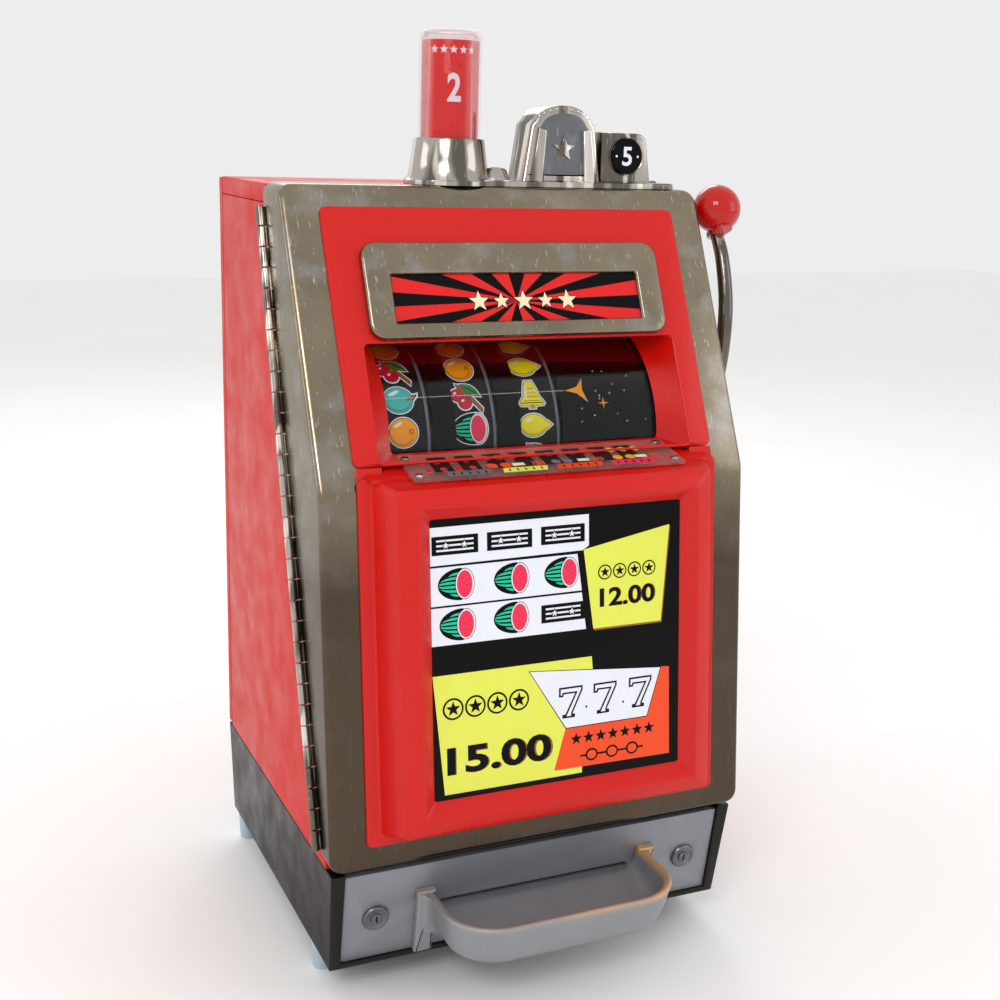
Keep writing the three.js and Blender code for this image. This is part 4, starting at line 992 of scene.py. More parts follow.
def make_upper_bezel():
    low, top = upper_low[2], upper_high[2]
    stops = [low + (MOUTH_TOP - low) * i / 12 for i in range(1, 12)]

    def flange(inset, out):
        outline = rounded(BEZEL_HALF - inset, low + inset, top - inset, 6, 4, stops)
        return [UPPER @ Vector(point) for point in at(outline, out)]

    def mouth(grow, out):
        outline = rounded(MOUTH_HALF + grow, low + 0.6, MOUTH_TOP + grow, 4, 4, stops)
        return [UPPER @ Vector(point) for point in at(outline, out)]

    def back(grow, radius):
        outline = rounded(MOUTH_HALF, low + 0.6, MOUTH_TOP, 4, 4, stops)
        span = MOUTH_TOP - low - 0.6
        scale = (GLASS_HALF - 1.5 + grow) / MOUTH_HALF
        return [on_arc(x * scale, (z - low - 0.6) / span, radius) for x, z in outline]

    rings = [flange(0, HAIR), flange(0, 1.2), flange(0.4, 2.3), flange(1.2, 3.1), flange(2.4, FLANGE)]
    rings += [mouth(1.2, FLANGE), mouth(0.4, 3.0), mouth(0, 2.2)]
    rings += [back(0, GLASS_R + 1), back(3, GLASS_R - 1), mouth(3, HAIR)]
    shape = Shape(RED_GLOSS)
    shape.loft(rings, closed=True)
    piece("upper_bezel_moulding", shape, "door", ["upper_bezel"], sharp=18)


window_low, window_high = reach("award_glass", LOWER)
WINDOW_HALF = window_high[0] - 5
WINDOW_LOW, WINDOW_TOP = window_low[2] + 5, window_high[2] - 5
GLASS_OUT = -window_low[1]
RIDGE_OUT = -lower_low[1]
SHELF_RISE = 0.2078  # slope of the shelf below the reels
SHELF_Z = 437.55  # its height at the bend


def make_lower_bezel():
    low, top = lower_low[2], 12

    def ring(half, bottom, high, out, radius):
        return at(rounded(half, bottom, high, radius, 4), out)

    ridge = BEZEL_HALF - 38.5
    shoulder = BEZEL_HALF - 22.5
    rings = [
        ring(BEZEL_HALF, low, top, HAIR, 6),
        ring(BEZEL_HALF, low, top, 1.2, 6),
        ring(BEZEL_HALF - 0.4, low + 0.4, top - 0.2, 2.4, 5.6),
        ring(BEZEL_HALF - 1.4, low + 1.4, top - 0.5, 3.2, 5.4),
        ring(BEZEL_HALF - 2.4, low + 2.4, top - 0.8, FLANGE, 5),
        ring(BEZEL_HALF - 10, low + 7.5, top - 0.9, FLANGE + 0.1, 6),
        ring(BEZEL_HALF - 12, low + 9.4, top - 1, FLANGE + 2, 6),
        ring(shoulder + 0.5, low + 13.5, 5.4, 30.2, 5),
        ring(shoulder - 0.3, low + 14.6, 4.6, 32, 4.5),
        ring(shoulder - 2, low + 16.4, 3.2, 33, 4),
        ring(ridge + 1.6, low + 26.6, -7.4, RIDGE_OUT - 0.5, 3.4),
        ring(ridge, low + 28.2, -9, RIDGE_OUT, 3),
        ring(ridge - 1.8, low + 30, -10.6, RIDGE_OUT - 0.6, 3),
        ring(WINDOW_HALF + 1, WINDOW_LOW - 1, WINDOW_TOP + 1, GLASS_OUT + 1.4, 2),
        ring(WINDOW_HALF, WINDOW_LOW, WINDOW_TOP, GLASS_OUT + 0.2, 2),
        ring(WINDOW_HALF, WINDOW_LOW, WINDOW_TOP, GLASS_OUT - 3, 2),
        ring(WINDOW_HALF + 12, WINDOW_LOW - 12, WINDOW_TOP + 8, GLASS_OUT - 3.4, 2),
        ring(BEZEL_HALF - 15, low + 15, top - 4, HAIR, 5),
    ]
    shape = Shape(RED_GLOSS)
    shape.loft(rings, face=LOWER, closed=True)
    depth = REEL_AXIS[0] - GLASS_R + 2
    end = [(BEZEL_HALF - 9, -9), (BEZEL_HALF - 9, 2.5), (MOUTH_HALF - 0.5, 2.5), (GLASS_HALF, depth)]
    plan = end + [(-x, y) for x, y in reversed(end)]
    shape.loft([[(x, y, SHELF_Z + SHELF_RISE * y - drop) for x, y in plan] for drop in (3.2, 0)])
    for side in (-1, 1):
        seam = rounded(11, 6, 20, 1, middle=side * (BEZEL_HALF - 12.5))
        shape.slab(seam, -0.3, -2.5, face=UPPER)
    piece("lower_bezel_moulding", shape, "door", ["lower_bezel"], sharp=18)


# ---- name panel


def clip(polygon, left, right, low, high):
    """The part of a convex polygon inside a rectangle."""
    for axis, limit, sign in ((0, left, 1), (0, right, -1), (1, low, 1), (1, high, -1)):
        result = []
        for a, b in zip(polygon, polygon[1:] + polygon[:1]):
            da, db = (a[axis] - limit) * sign, (b[axis] - limit) * sign
            if da >= 0:
                result.append(a)
            if (da > 0 > db) or (da < 0 < db):
                t = da / (da - db)
                result.append((a[0] + (b[0] - a[0]) * t, a[1] + (b[1] - a[1]) * t))
        polygon = result
        if len(polygon) < 3:
            return []
    return polygon


def make_name_panel():
    half, low, top = name_high[0], name_low[2], name_high[2]
    pane_low, pane_high = reach("name_glass", UPPER)
    window = pane_high[0] - 3.5
    bottom, ceiling = pane_low[2] + 3.5, pane_high[2] - 3.5
    base = -name_high[1]
    face = -name_low[1]

    def ring(inset, out):
        return at(rounded(half - inset, low + inset * 0.5, top - inset, 13, 6), out)

    def inner(grow, out):
        return at(rounded(window + grow, bottom - grow, ceiling + grow, 1.2, 6), out)

    shape = Shape(DOOR_METAL)
    shape.loft([
        ring(0, base), ring(0, face - 2.6), ring(0.5, face - 1.2), ring(1.5, face - 0.3), ring(3, face),
        inner(2.2, face), inner(1.4, face - 0.4), inner(0, face - 2.4), inner(0, base + 2.6), inner(4, base),
    ], face=UPPER, closed=True)
    piece("name_frame_casting", shape, "door", ["name_frame"], sharp=40)
    front = -pane_low[1]
    panel = Shape(INK["black"])
    panel.slab(rounded(window + 3, bottom - 3, ceiling + 3, 1), -base - 0.2, -front, face=UPPER)
    p = Print(panel, flat_on(UPPER, front))
    hub = (-3.5, (bottom + ceiling) / 2 - 3)
    rays, sweep, length = 12, 15, 300
    for i in range(rays):
        start = 360 * i / rays + 4
        wedge = [hub]
        for degrees in (start, start + sweep):
            a = math.radians(degrees)
            wedge.append((hub[0] + length * math.cos(a), hub[1] + length * math.sin(a) * 0.42))
        area = clip(wedge, -window, window, bottom, ceiling)
        if area:
            p.put(area, "ray", 1)
    for i in range(5):
        x = 3 + (i - 2) * 21
        size = 9.5 if i % 2 == 0 else 7.5
        spot = (x, hub[1])
        p.put(moved(star_outline(size + 1.4), *spot), "black", 2)
        p.put(moved(star_outline(size), *spot), "cream", 3)
    piece("name_glass_print", panel, "door", ["name_glass"])


# ---- reels and their glass

SYMBOLS = {
    "orange": draw_orange, "plum": draw_plum, "cherries": draw_cherries, "lemon": draw_lemon,
    "bell": draw_bell, "melon": draw_reel_melon, "bar": draw_reel_bar,
}
STOPS = 20
PAY_ANGLE = 32.5  # degrees above level of the pay line
SHOWN = [["orange", "plum", "cherries", "orange"], ["melon", "cherries", "orange", "orange"],
         ["lemon", "bell", "lemon", "lemon"]]  # from the row below the pay line upwards


def make_reel_strips():
    names = sorted(SYMBOLS)
    half = (reel_high[0] - reel_low[0]) / 2
    for i in range(3):
        node = f"reel_strip_{i + 1}"
        low, high = reach(node)
        x = centre((low, high))[0]
        sideways = Matrix.Translation((x, *REEL_AXIS)) @ SIDEWAYS
        shape = Shape(INK["soot"])
        shape.turn([
            (REEL_R - 1, -half), (REEL_R, -half), (REEL_R, half), (REEL_R - 1, half), (REEL_R - 1, -half),
        ], sideways, steps=120)
        for edge in (-1, 1):
            place = sideways @ Matrix.Translation((0, 0, edge * (half - 1.5)))
            shape.turn([
                (REEL_R - 0.5, -1.4), (REEL_R + 0.5, -1.4), (REEL_R + 0.9, -0.8), (REEL_R + 0.9, 0.8),
                (REEL_R + 0.5, 1.4), (REEL_R - 0.5, 1.4), (REEL_R - 0.5, -1.4),
            ], place, INK["grey"], steps=120)
        for stop in range(STOPS):
            angle = PAY_ANGLE + (stop - 1) * 360 / STOPS
            name = SHOWN[i][stop] if stop < len(SHOWN[i]) else random.choice(names)
            spot = round_on(x, REEL_AXIS, REEL_R, angle)
            SYMBOLS[name](Print(shape, spot, 4.5))
        piece(f"{node}_printed", shape, f"reel_{i + 1}", [node])


def make_reel_glass():
    inner = GLASS_R - GLASS_T
    steps = 40
    shape = Shape(PANE)
    section = [on_arc(0, i / steps, GLASS_R) for i in range(steps + 1)]
    section += [on_arc(0, i / steps, inner) for i in range(steps, -1, -1)]
    half = GLASS_HALF + 4
    shape.loft([[(side * half, p.y, p.z) for p in section] for side in (-1, 1)])
    piece("reel_glass_bowed", shape, "door", ["reel_glass"])
    print_radius = inner - 0.6
    mask = Shape(INK["black"])
    reel_x = [reach(f"reel_strip_{i}")[0][0] + 24 for i in (1, 2, 3)]
    edges = [-GLASS_HALF - 3]
    for x in reel_x:
        edges += [x - 15, x + 26]
    edges.append(GLASS_HALF + 3)
    for k in range(0, len(edges), 2):
        band = []
        for radius, order in ((print_radius, 1), (print_radius - 0.3, -1)):
            band += [on_arc(0, i / steps, radius) for i in range(steps + 1)][::order]
        mask.loft([[(x, p.y, p.z) for p in band] for x in (edges[k], edges[k + 1])])
    p = Print(mask, round_on(0, REEL_AXIS, print_radius, PAY_ANGLE), 1.5)
    arrow_x = edges[-2] + 10
    arrow = [(arrow_x - 4, 0), (arrow_x + 8, 3), (arrow_x + 15, 11), (arrow_x + 13, 0), (arrow_x + 17, -12),
             (arrow_x + 8, -3.4)]
    p.put(arrow, "orange", 1)
    for k in range(72):
        p.put(moved(bar_outline(1.1, 0.7), -GLASS_HALF + 2 + k * 2.35, 0), "white", 1)
    for k in range(16):
        x, y = arrow_x + random.uniform(4, 76), random.uniform(-34, 22)  # the glitter's area
        p.put(moved(star_outline(random.uniform(0.6, 1.1), 4), x, y), "cream", 1)
    p.put(moved(star_outline(5.5, 4, 0.2), arrow_x + 32, -13), "orange", 1)
    piece("reel_glass_mask", mask, "door")


# ---- award card


def make_card():
    low, high = reach("award_card")
    y0, y1 = low[1], high[1]
    thick = high[2] - low[2] - (y1 - y0) * SHELF_RISE
    half = high[0]
    lean = math.degrees(math.atan(SHELF_RISE))
    card = Matrix.Translation((0, y0, low[2])) @ Matrix.Rotation(math.radians(lean), 4, "X")
    depth = (y1 - y0) / math.cos(math.radians(lean))
    shape = Shape(SMOKE, EDGE_LIGHT)
    outline = [(x, y + depth / 2) for x, y in rounded(half, -depth / 2, depth / 2, 1.5)]

    def level(inset, height):
        return [(x, y, height) for x, y in offset(outline, -inset)]

    shape.loft([level(0.5, 0), level(0, 0.5), level(0, thick - 0.5), level(0.5, thick)], face=card)
    piece("award_card_pane", shape, "door", ["award_card"], sharp=20)

    def spot(u, v, h):
        return card @ Vector((u, v, thick + 0.02 + h))

    ink = Shape(INK["soot"])
    p = Print(ink, spot)
    rows = (16.5, 32)  # heights of the two rows of pictures up the card
    plate, stroke = bar_outline(11, 5), bar_outline(1.6, 7)
    for x in range(-104, 96, 25):
        p.put([(x, 12), (x + 17, 12), (x + 18, depth - 8), (x + 1, depth - 8)], "soot", 1)
    for row in rows:
        upper = row == rows[1]
        count = 3 if upper else 2
        for k in range(4):
            x = -110 + k * 13 + (rows[1] - row) * 0.1
            p.put(moved(ellipse(0, 0, 3, 3.4, 12), x, row), "crimson", 2)
            p.put(moved(bar_outline(4.6, 1.2), x, row - 4.4), "scarlet", 2)
        for k in range(count):
            p.put(ellipse(-52 + k * 12, row, 4.8, 4.4, 18), "scarlet", 2)
        p.put(moved(plate, -28, rows[0]), "cream", 2)
        for k in range(4):
            p.put(moved(stroke, -14 + k * 3, row), "scarlet", 2)
            p.put(moved(stroke, 42 + k * 3, row), "scarlet", 2)
        for k in range(count):
            p.put(ellipse(7 + k * 11, row, 4.4, 4, 16), "grey", 2)
            p.put(ellipse(66.5 + k * 12, row, 4.6, 4.2, 18), "lemon" if upper else "orange", 2)
        for k in range(3):
            p.put(moved(stroke, 100 + k * 3, row), "scarlet", 2)
    for x in (33, 89):
        p.put(moved(plate, x, rows[0]), "cream", 2)
    for x0, x1, tone in ((-96, -56, "grey"), (-46, -5, "yellow"), (4, 47, "scarlet"), (56, 98, "pink")):
        p.put([(x0 - 1, 2.4), (x1 - 2, 2.4), (x1 + 1, 10.5), (x0 + 1, 10.5)], tone, 2)
        for k in range(5):
            x = x0 + (x1 - x0) * (k + 0.8) / 5.6
            p.put(moved(bar_outline(1.4, 4.2), x, 6.6), "black", 3)
    piece("award_card_print", ink, "door")
    screws = Shape(BRIGHT)
    for x in (-half + 5.5, half - 8):
        for y in (7, depth - 7):
            top = card @ Matrix.Translation((x, y, thick))
            screws.turn([(0, -1), (3.6, -1), (3.6, 0.5), (3, 1.2), (1.8, 1.7), (0, 1.9)], top, steps=28)
            # painted shade: a black bar across each head stands for the dark in its slot
            slot = bar_outline(5.2, 0.7)
            screws.loft([[(a, b, h) for a, b in slot] for h in (1.2, 2.0)], INK["black"], face=top)
    piece("award_card_screws", screws, "door")


# ---- lower glass


def make_award_glass():
    shape = Shape(INK["black"])
    pane = rounded(WINDOW_HALF + 2, WINDOW_LOW - 2, WINDOW_TOP + 2, 1)
    shape.slab(pane, -GLASS_OUT + 2.5, -GLASS_OUT, face=LOWER)
    p = Print(shape, flat_on(LOWER, GLASS_OUT))
    left = -WINDOW_HALF + 0.3
    p.put([(left, -59.2), (21.6, -57.9), (27.7, -54.3), (27.7, -27.2), (left, -27.6)], "white", 1)
    p.put([(left, -92.9), (20.8, -92.6), (16.7, -60.6), (left, -60.9)], "white", 1)
    p.put([(left, -126.2), (24.8, -126.8), (20.8, -94.4), (left, -94.5)], "white", 1)
    for x, y in ((-94.9, -43), (-46, -43), (3.2, -42.5), (3, -109.7)):
        draw_bar(p.at(x, y))
    for x, y in ((-94.2, -76), (-44.4, -76), (1.8, -75.6), (-93.4, -109.9), (-44.9, -109.4)):
        draw_melon(p.at(x, y))
    p.put([(24, -59), (107.4, -43.6), (99.4, -129), (32.6, -129)], "stalk", 1)
    p.put([(22.7, -57.5), (106.3, -42.3), (98.4, -127.4), (31.8, -127.3)], "yellow", 2)
    for k in range(4):
        draw_coin(p.at(43 + k * 14.4, -78.8), 6.6)
    print_numerals(p, "12.00", 65.5, -101, 16.5, "stalk", 3, 0.035, 55)
    print_numerals(p, "12.00", 65, -101, 16.5, "black", 4, 0.025, 54)
    p.put([(left, -151.4), (30.3, -151.6), (31.2, -163), (20.5, -250.6), (20.5, -254.6), (-107.6, -254.5)],
          "yellow", 2)
    for k in range(4):
        draw_coin(p.at(-99 + k * 20, -181), 9.4)
    print_numerals(p, "15.00", -56.2, -226.4, 24, "stalk", 3, 0.04, 98)
    print_numerals(p, "15.00", -57, -226, 24, "black", 4, 0.03, 96)
    p.put([(98.7, -169.2), (107.1, -170), (107.9, -250), (-6.3, -248.9), (5, -211.8), (84.5, -211.8)],
          "scarlet", 3)
    white = [(-28.8, -158.2), (98.1, -169.8), (84.5, -212.2), (5.2, -212.1)]
    p.put(offset(white, 0.8), "black", 4)
    p.put(white, "white", 5)
    lifted = Print(shape, flat_on(LOWER, GLASS_OUT), base=LAYER * 3)
    for x, y in ((-1.9, -203.4), (31.4, -203.7), (66.2, -203)):
        draw_seven(lifted, x, y, 0.02)
    for x, y in ((24.9, -195.7), (61, -196.2)):
        lifted.put(ellipse(x, y, 1, 1, 12), "black", 4)
    for k in range(7):
        lifted.put(moved(star_outline(5.6), 15 + k * 12, -223.5), "black", 2)
    lifted.put(moved(bar_outline(62, 1.6), 50, -239.4), "black", 2)
    for k in range(3):
        lifted.put(moved(ellipse(0, 0, 6, 5.6, 20), 30 + k * 20, -239.4), "black", 3)
        lifted.put(moved(ellipse(0, 0, 4.4, 4, 20), 30 + k * 20, -239.4), "scarlet", 4)
    piece("award_glass_print", shape, "door", ["award_glass"])


def draw_coin(p, radius):
    """A plain coin with a star, in place of a word."""
    p.put(ellipse(0, 0, radius, radius, 28), "black", 4)
    p.put(ellipse(0, 0, radius * 0.82, radius * 0.82, 28), "yellow", 5)
    p.put(star_outline(radius * 0.72), "black", 6)


# ---- door hinge


def make_hinge():
    hinge = leaning(HINGE_LEAN, HINGE_FOOT_Y + 0.8, door_low[2])
    right = reach("hinge_leaf_door", hinge)[1][0]
    pin_low, pin_high = reach("hinge_pin", hinge)
    x = centre((pin_low, pin_high))[0]
    radius = 3.5
    knuckles = 31
    z0, z1 = pin_low[2] + 1, pin_high[2] - 1
    pitch = (z1 - z0) / knuckles
    thick = 0.45
    start = x + radius + HAIR
    leaves = (("cabinet", 0, 0.2, "hinge_leaf_cabinet"), ("door", 1, -0.2 - thick, "hinge_leaf_door"))
    for body, first, y0, node in leaves:
        shape = Shape(BRIGHT)
        outline = rounded((right - start) / 2, z0, z1, 0.2, middle=(right + start) / 2)
        shape.slab(outline, y0 + thick, y0, face=hinge)
        for i in range(first, knuckles, 2):
            foot = hinge @ Matrix.Translation((x, 0, z0 + i * pitch))
            long = pitch - 0.8
            shape.turn([
                (1.7, 0.4), (radius - 0.5, 0.4), (radius, 0.9), (radius, long - 0.1),
                (radius - 0.5, long + 0.4), (1.7, long + 0.4), (1.7, 0.4),
            ], foot, steps=24)
            tab = rounded((radius + 1.4) / 2, 0.4, long + 0.4, 0.1, 1, middle=(radius + 1.4) / 2 + 1.8)
            shape.slab(tab, y0 + thick, y0, face=foot)
        piece(f"{node}_rolled", shape, body, [node], sharp=40)


# ---- top casting and indicator


def make_top_casting():
    base = reach("top_casting")[0][2]
    tube_low, tube_high = reach("indicator_lens")
    tube_x, tube_y = centre((tube_low, tube_high))[:2]
    tube_r = (tube_high[0] - tube_low[0]) / 2
    disc_low, disc_high = reach("badge_disc")
    badge_x, badge_z = centre((disc_low, disc_high))[::2]
    badge_r = (disc_high[0] - disc_low[0]) / 2
    front, back = 117, 160  # depths of the flange's edges
    shape = Shape(BRIGHT, BRIGHT_DULL)
    flange_x = 58.5  # middle of the flange, across the door
    plan = rounded(124.5, front, back, 9, 6, middle=flange_x)
    shape.loft([[(x, y, z) for x, y in offset(plan, -inset)]
                for inset, z in ((0, base), (0, base + 3.4), (0.5, base + 4.5), (1.6, base + 5))])
    cone = Matrix.Translation((tube_x, tube_y, 0))
    cone_r, cone_top = 37, 702
    profile = [(0, base), (cone_r + 3, base), (cone_r + 3, base + 3.6), (cone_r + 1, base + 5)]
    profile += [(cone_r - 1, base + 7.5), (tube_r + 6.2, base + 22), (tube_r + 4, cone_top - 1.5)]
    profile += [(tube_r + 3.2, cone_top), (tube_r + HAIR, cone_top)]
    profile += [(tube_r + HAIR, cone_top - 12), (0, cone_top - 12)]
    shape.turn(profile, cone, steps=72)
    boss = Matrix.Translation((6, tube_y - 12, base))
    shape.turn([
        (0, 0), (15, 0), (14.6, 5), (12.2, 8), (10.6, 13), (9.4, 14.6), (7, 15.6), (6.4, 14.2), (3, 14),
        (0, 14),
    ], boss, steps=40)
    # Middle and half width of the arch, and the heights where its round top starts and ends.
    arch_x, arch_half, shoulder, crown = 66, 44, 716, 734
    right = [(arch_half, base), (arch_half - 5, base + 6), (arch_half - 12, shoulder)]
    round_top = []
    for i in range(1, 14):
        a = math.radians(i * 180 / 14)
        round_top.append(((arch_half - 15) * math.cos(a), shoulder + (crown - shoulder) * math.sin(a)))
    left = [(-x, z) for x, z in reversed(right)]
    body = [(arch_x + x, z) for x, z in right + round_top + left]
    shape.slab(body, back - 4, front + 6, 3.2, steps=4)
    niche = [(x, max(z, base + 11)) for x, z in offset(body, -6.5)]
    shape.slab(niche, front + 9, front + 5.8, 1.2, BRIGHT_DULL)
    for i in range(9):
        a = math.radians(30 + 120 * i / 8)
        x = arch_x + (arch_half - 16) * math.cos(a)
        z = shoulder + (crown - shoulder - 3.6) * math.sin(a)
        bead = Matrix.Translation((x, front + 6.4, z)) @ OUTWARD
        shape.turn([(0, -1), (1.7, -1), (1.5, 0.7), (0.8, 1.3), (0, 1.5)], bead, steps=12)
    for side in (-1, 1):
        corners = ((33, base + 4), (21, base + 4), (18, shoulder - 4), (26, shoulder - 2))
        leg = [(arch_x + side * x, z) for x, z in corners]
        shape.slab(leg if side > 0 else leg[::-1], front + 7, front + 2.2, 1.6)
    shape.slab(moved(star_outline(12), arch_x, shoulder - 20), front + 7, front + 4, 1.0)
    sill = [(arch_x + x, base + z) for x, z in ((-20, 5), (20, 5), (19, 10), (-19, 10))]
    shape.slab(sill, front + 7, front + 4, 0.8)
    right_edge = [(badge_x + 28, base), (badge_x + 22, badge_z + 10)]
    for i in range(1, 7):
        a = math.radians(i * 15)
        right_edge.append((badge_x + 12 + 9.6 * math.cos(a), badge_z + 11 + 9.6 * math.sin(a)))
    block = [(badge_x - 26, base)] + right_edge + [(badge_x - 26, badge_z + 20.6)]
    shape.slab(block, back - 6, front + 9, 2.6, steps=4)
    out = Matrix.Translation((badge_x, front + 9, badge_z)) @ OUTWARD
    shape.turn([
        (badge_r + step, h) for step, h in ((0.2, -1), (1.8, -1), (1.8, 1), (1.2, 1.6), (0.2, 1), (0.2, -1))
    ], out)
    for side in (-1, 1):
        screw = Matrix.Translation((flange_x + side * 113, (front + back) / 2 + 6, base + 5))
        shape.turn([(0, -1), (4, -1), (4, 0.6), (3, 1.6), (0, 2.1)], screw, steps=24)
    piece("top_casting_detailed", shape, "door", ["top_casting"], sharp=35)
    badge = Shape(INK["black"])
    badge.turn([(0, -0.5), (badge_r, -0.5), (badge_r, 1.6), (badge_r - 0.8, 2.2), (0, 2.5)], out)
    p = Print(badge, flat_on(LEVEL, -(front + 9 - 2.3), badge_x, badge_z))
    print_numerals(p, "5", 0, 0, 17, "white", 4, 0.02)
    for side in (-1, 1):
        p.put(ellipse(side * 11, 0, 1.1, 1.1, 10), "white", 4)
    piece("badge_face", badge, "door", ["badge_disc"])
    return tube_x, tube_y, tube_r, tube_low[2], tube_high[2]


def make_indicator(tube_x, tube_y, radius, low, high):
    stand = Matrix.Translation((tube_x, tube_y, 0))
    shape = Shape(FROST)
    wall = 2
    shape.turn([
        (radius - wall, low), (radius, low), (radius, high - 7), (radius - 0.6, high - 3.6),
        (radius - 2.2, high - 1.4), (radius - 5, high - 0.3), (radius - 8, high), (0, high),
        (0, high - 3), (radius - 8, high - 3), (radius - 4.2, high - 4), (radius - wall, high - 8),
        (radius - wall, low),
    ], stand, steps=64)
    piece("indicator_lens_moulded", shape, "door", ["indicator_lens"])
    sleeve = Shape(SLEEVE_RED_GLOW)
    outer = radius - wall - HAIR
    sleeve_top = high - 9
    sleeve.turn([
        (outer - 0.8, low), (outer, low), (outer, sleeve_top), (outer - 0.8, sleeve_top), (outer - 0.8, low),
    ], stand, steps=64)

    def spot(u, v, h):
        a = math.radians(-25) + u / outer
        r = outer + 0.05 + h
        return Vector((tube_x + r * math.sin(a), tube_y - r * math.cos(a), (low + high) / 2 + v))

    p = Print(sleeve, spot, 1.5, curved=0)
    print_numerals(p, "2", 5, 3, 24, "white", 4, 0.03, 12)
    for k in range(-2, 3):
        p.put(moved(star_outline(3.8), 4 + k * 8.6, 34), "white", 4)
    piece("indicator_sleeve_printed", sleeve, "door", ["indicator_sleeve"])
    lamp_low, lamp_high = reach("indicator_lamp")
    bulb = Shape(BULB, BRIGHT)
    r = (lamp_high[0] - lamp_low[0]) / 2
    z0, z1 = lamp_low[2], lamp_high[2]
    bulb.turn([(0, z0), (r, z0), (r, z0 + 12), (r * 0.9, z0 + 14), (0, z0 + 14)], stand, BRIGHT, 32)
    bulb.turn([
        (0, z0 + 13), (r * 0.8, z0 + 13), (r, z1 - r), (r * 0.8, z1 - r * 0.4), (r * 0.4, z1 - 0.6), (0, z1),
    ], stand, BULB, 32)
    piece("indicator_bulb", bulb, "door", ["indicator_lamp"])


# ---- handle


def curve_through(points, steps):
    """A smooth path through points, uniform Catmull-Rom."""
    path = []
    padded = [points[0]] + points + [points[-1]]
    for i in range(1, len(padded) - 2):
        a, b, c, d = (Vector(padded[i + k]) for k in (-1, 0, 1, 2))
        for k in range(steps):
            t = k / steps
            square, cube = 2 * a - 5 * b + 4 * c - d, 3 * b - a - 3 * c + d
            path.append(0.5 * (2 * b + (c - a) * t + square * t ** 2 + cube * t ** 3))
    path.append(Vector(points[-1]))
    return path


def make_handle():
    low, high = reach("handle_knob")
    x, *knob = centre((low, high))
    knob_r = (high[2] - low[2]) / 2
    bush_low, bush_high = reach("handle_bush")
    axis = centre((bush_low, bush_high))[1:]
    # The arm's bends, as (y, z) from the handle's axis.
    run = [(-2, 2), (-22, 28), (-46, 74), (-60, 124), (-62, 172), (-51, 214)]
    points = [(x, axis[0] + y, axis[1] + z) for y, z in run] + [(x, knob[0] - 1, knob[1] - knob_r + 2)]
    path = curve_through(points, 12)
    radii = [7.9 - 1.5 * i / (len(path) - 1) for i in range(len(path))]
    arm = Shape(BRIGHT)
    arm.tube(path, radii, sides=32)
    hub_start = bush_high[0] + HAIR
    hub = Matrix.Translation((0, *axis)) @ SIDEWAYS
    arm.turn([
        (0, hub_start), (15.4, hub_start), (17, hub_start + 1.4), (17, x - 4), (16, x + 4), (13.5, x + 8.4),
        (10, x + 9.8), (5, x + 10), (4.2, x + 9.2), (0, x + 9.2),
    ], hub, steps=56)
    lean = (Vector(points[-1]) - path[-6]).normalized()
    turn = Vector((0, 0, 1)).rotation_difference(lean).to_matrix().to_4x4()
    collar = Matrix.Translation(Vector(points[-1])) @ turn
    arm.turn([(0, -5), (8.6, -5), (9.6, -4), (9.6, -1), (8.6, 0.4), (0, 0.4)], collar, steps=40)
    piece("handle_arm_forged", arm, "handle", ["handle_arm"], sharp=40)
    bush = Shape(BRIGHT)
    washer = bush_high[0]
    bush.turn([
        (9.6, bush_low[0]), (13, bush_low[0]), (13, washer - 8), (24, washer - 8), (24, washer - 5.5),
        (22.6, washer - 3.4), (19, washer - 1), (17, washer), (9.6, washer), (9.6, bush_low[0]),
    ], hub, steps=56)
    piece("handle_bush_turned", bush, "cabinet", ["handle_bush"], sharp=35)
    ball = Shape(KNOB_RED)
    bands = 24
    profile = [(0, -knob_r)]
    for i in range(1, bands):
        a = math.radians(-90 + 180 * i / bands)
        profile.append((knob_r * math.cos(a), knob_r * math.sin(a)))
    profile.append((0, knob_r))
    place = Matrix.Translation((x, *knob)) @ turn
    ball.turn(profile, place, steps=48)
    ferrule = [(r, h - knob_r) for r, h in ((0, -0.6), (9.4, -0.6), (10, 0.6), (9, 3.4), (0, 3.4))]
    ball.turn(ferrule, place, steps=40)
    piece("handle_ball", ball, "handle", ["handle_knob"], sharp=50)


# ---- stage, lights and camera


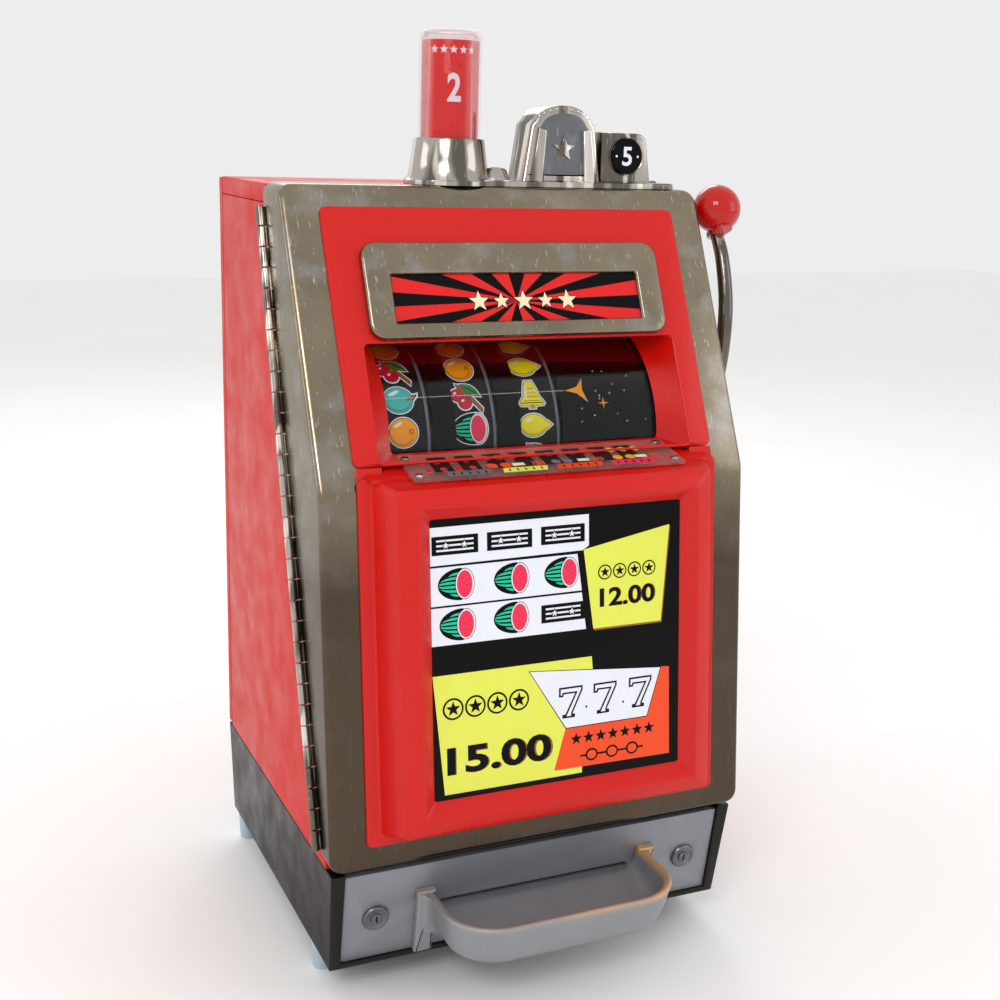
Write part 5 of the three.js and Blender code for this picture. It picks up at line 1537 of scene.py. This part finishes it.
def make_stage():
    floor = bpy.data.meshes.new("floor")
    floor.from_pydata([(x, y, 0) for x, y in bar_outline(12, 12)], [], [(0, 1, 2, 3)])
    made = new_object("floor", floor)
    finish = Finish("pale_floor", rgb(250, 250, 249), 0.8, specular=0.1)
    finish.tint(finish.span(finish.noise(3, 3), 0, 0.4), rgb(245, 245, 244))
    floor.materials.append(finish.material)
    world = bpy.data.worlds.new("studio")
    bpy.context.scene.world = world
    world.use_nodes = True
    world.node_tree.nodes["Background"].inputs["Color"].default_value = (1, 1, 1, 1)
    world.node_tree.nodes["Background"].inputs["Strength"].default_value = 0.85


def soft_box(name, place, target, size, power, tone=(1, 1, 1)):
    light = bpy.data.lights.new(name, "AREA")
    light.shape = "RECTANGLE"
    light.size, light.size_y = size
    light.energy = power
    light.color = tone
    made = new_object(name, light)
    made.location = place
    made.rotation_mode = "QUATERNION"
    made.rotation_quaternion = (Vector(target) - Vector(place)).to_track_quat("-Z", "Y")


def make_lights():
    aim = (0, 0, 0.4)
    soft_box("key", (-1.5, -2.0, 2.2), aim, (1.2, 0.8), 22, (1, 0.96, 0.9))
    soft_box("fill", (2.2, -1.6, 1.2), aim, (1.2, 1.6), 7)
    soft_box("rim", (0.6, 2.2, 2.0), aim, (1.6, 0.8), 14)
    soft_box("side", (-2.6, 0.6, 1.1), aim, (1.0, 1.4), 6)


def make_camera():
    """The photograph's camera, as solved from the machine's straight edges."""
    azimuth, elevation, roll = (math.radians(a) for a in (-24.99, 14.70, 1.93))
    place = Vector((-522.7, -1061.0, 705.2))
    level = math.cos(elevation)
    forward = -Vector((math.sin(azimuth) * level, -math.cos(azimuth) * level, math.sin(elevation)))
    right = forward.cross(Vector((0, 0, 1))).normalized()
    up = right.cross(forward)
    across = math.cos(roll) * right + math.sin(roll) * up
    upward = -math.sin(roll) * right + math.cos(roll) * up
    camera = bpy.data.cameras.new("camera")
    camera.sensor_width = 36
    camera.lens = 51.34
    camera.shift_x = -0.014
    camera.shift_y = 0.011
    camera.clip_start = 0.01
    made = new_object("camera", camera)
    basis = Matrix((across, upward, -forward)).transposed().to_4x4()
    made.matrix_world = Matrix.Translation(TO_ROW @ place) @ basis
    bpy.context.scene.camera = made
    bpy.context.scene.view_settings.view_transform = "Standard"


make_camera()
make_cabinet()
make_feet()
make_locks()
make_tray()
make_door_shell()
make_upper_bezel()
make_lower_bezel()
make_name_panel()
make_reel_strips()
make_reel_glass()
make_card()
make_award_glass()
make_hinge()
make_indicator(*make_top_casting())
make_handle()
make_stage()
make_lights()
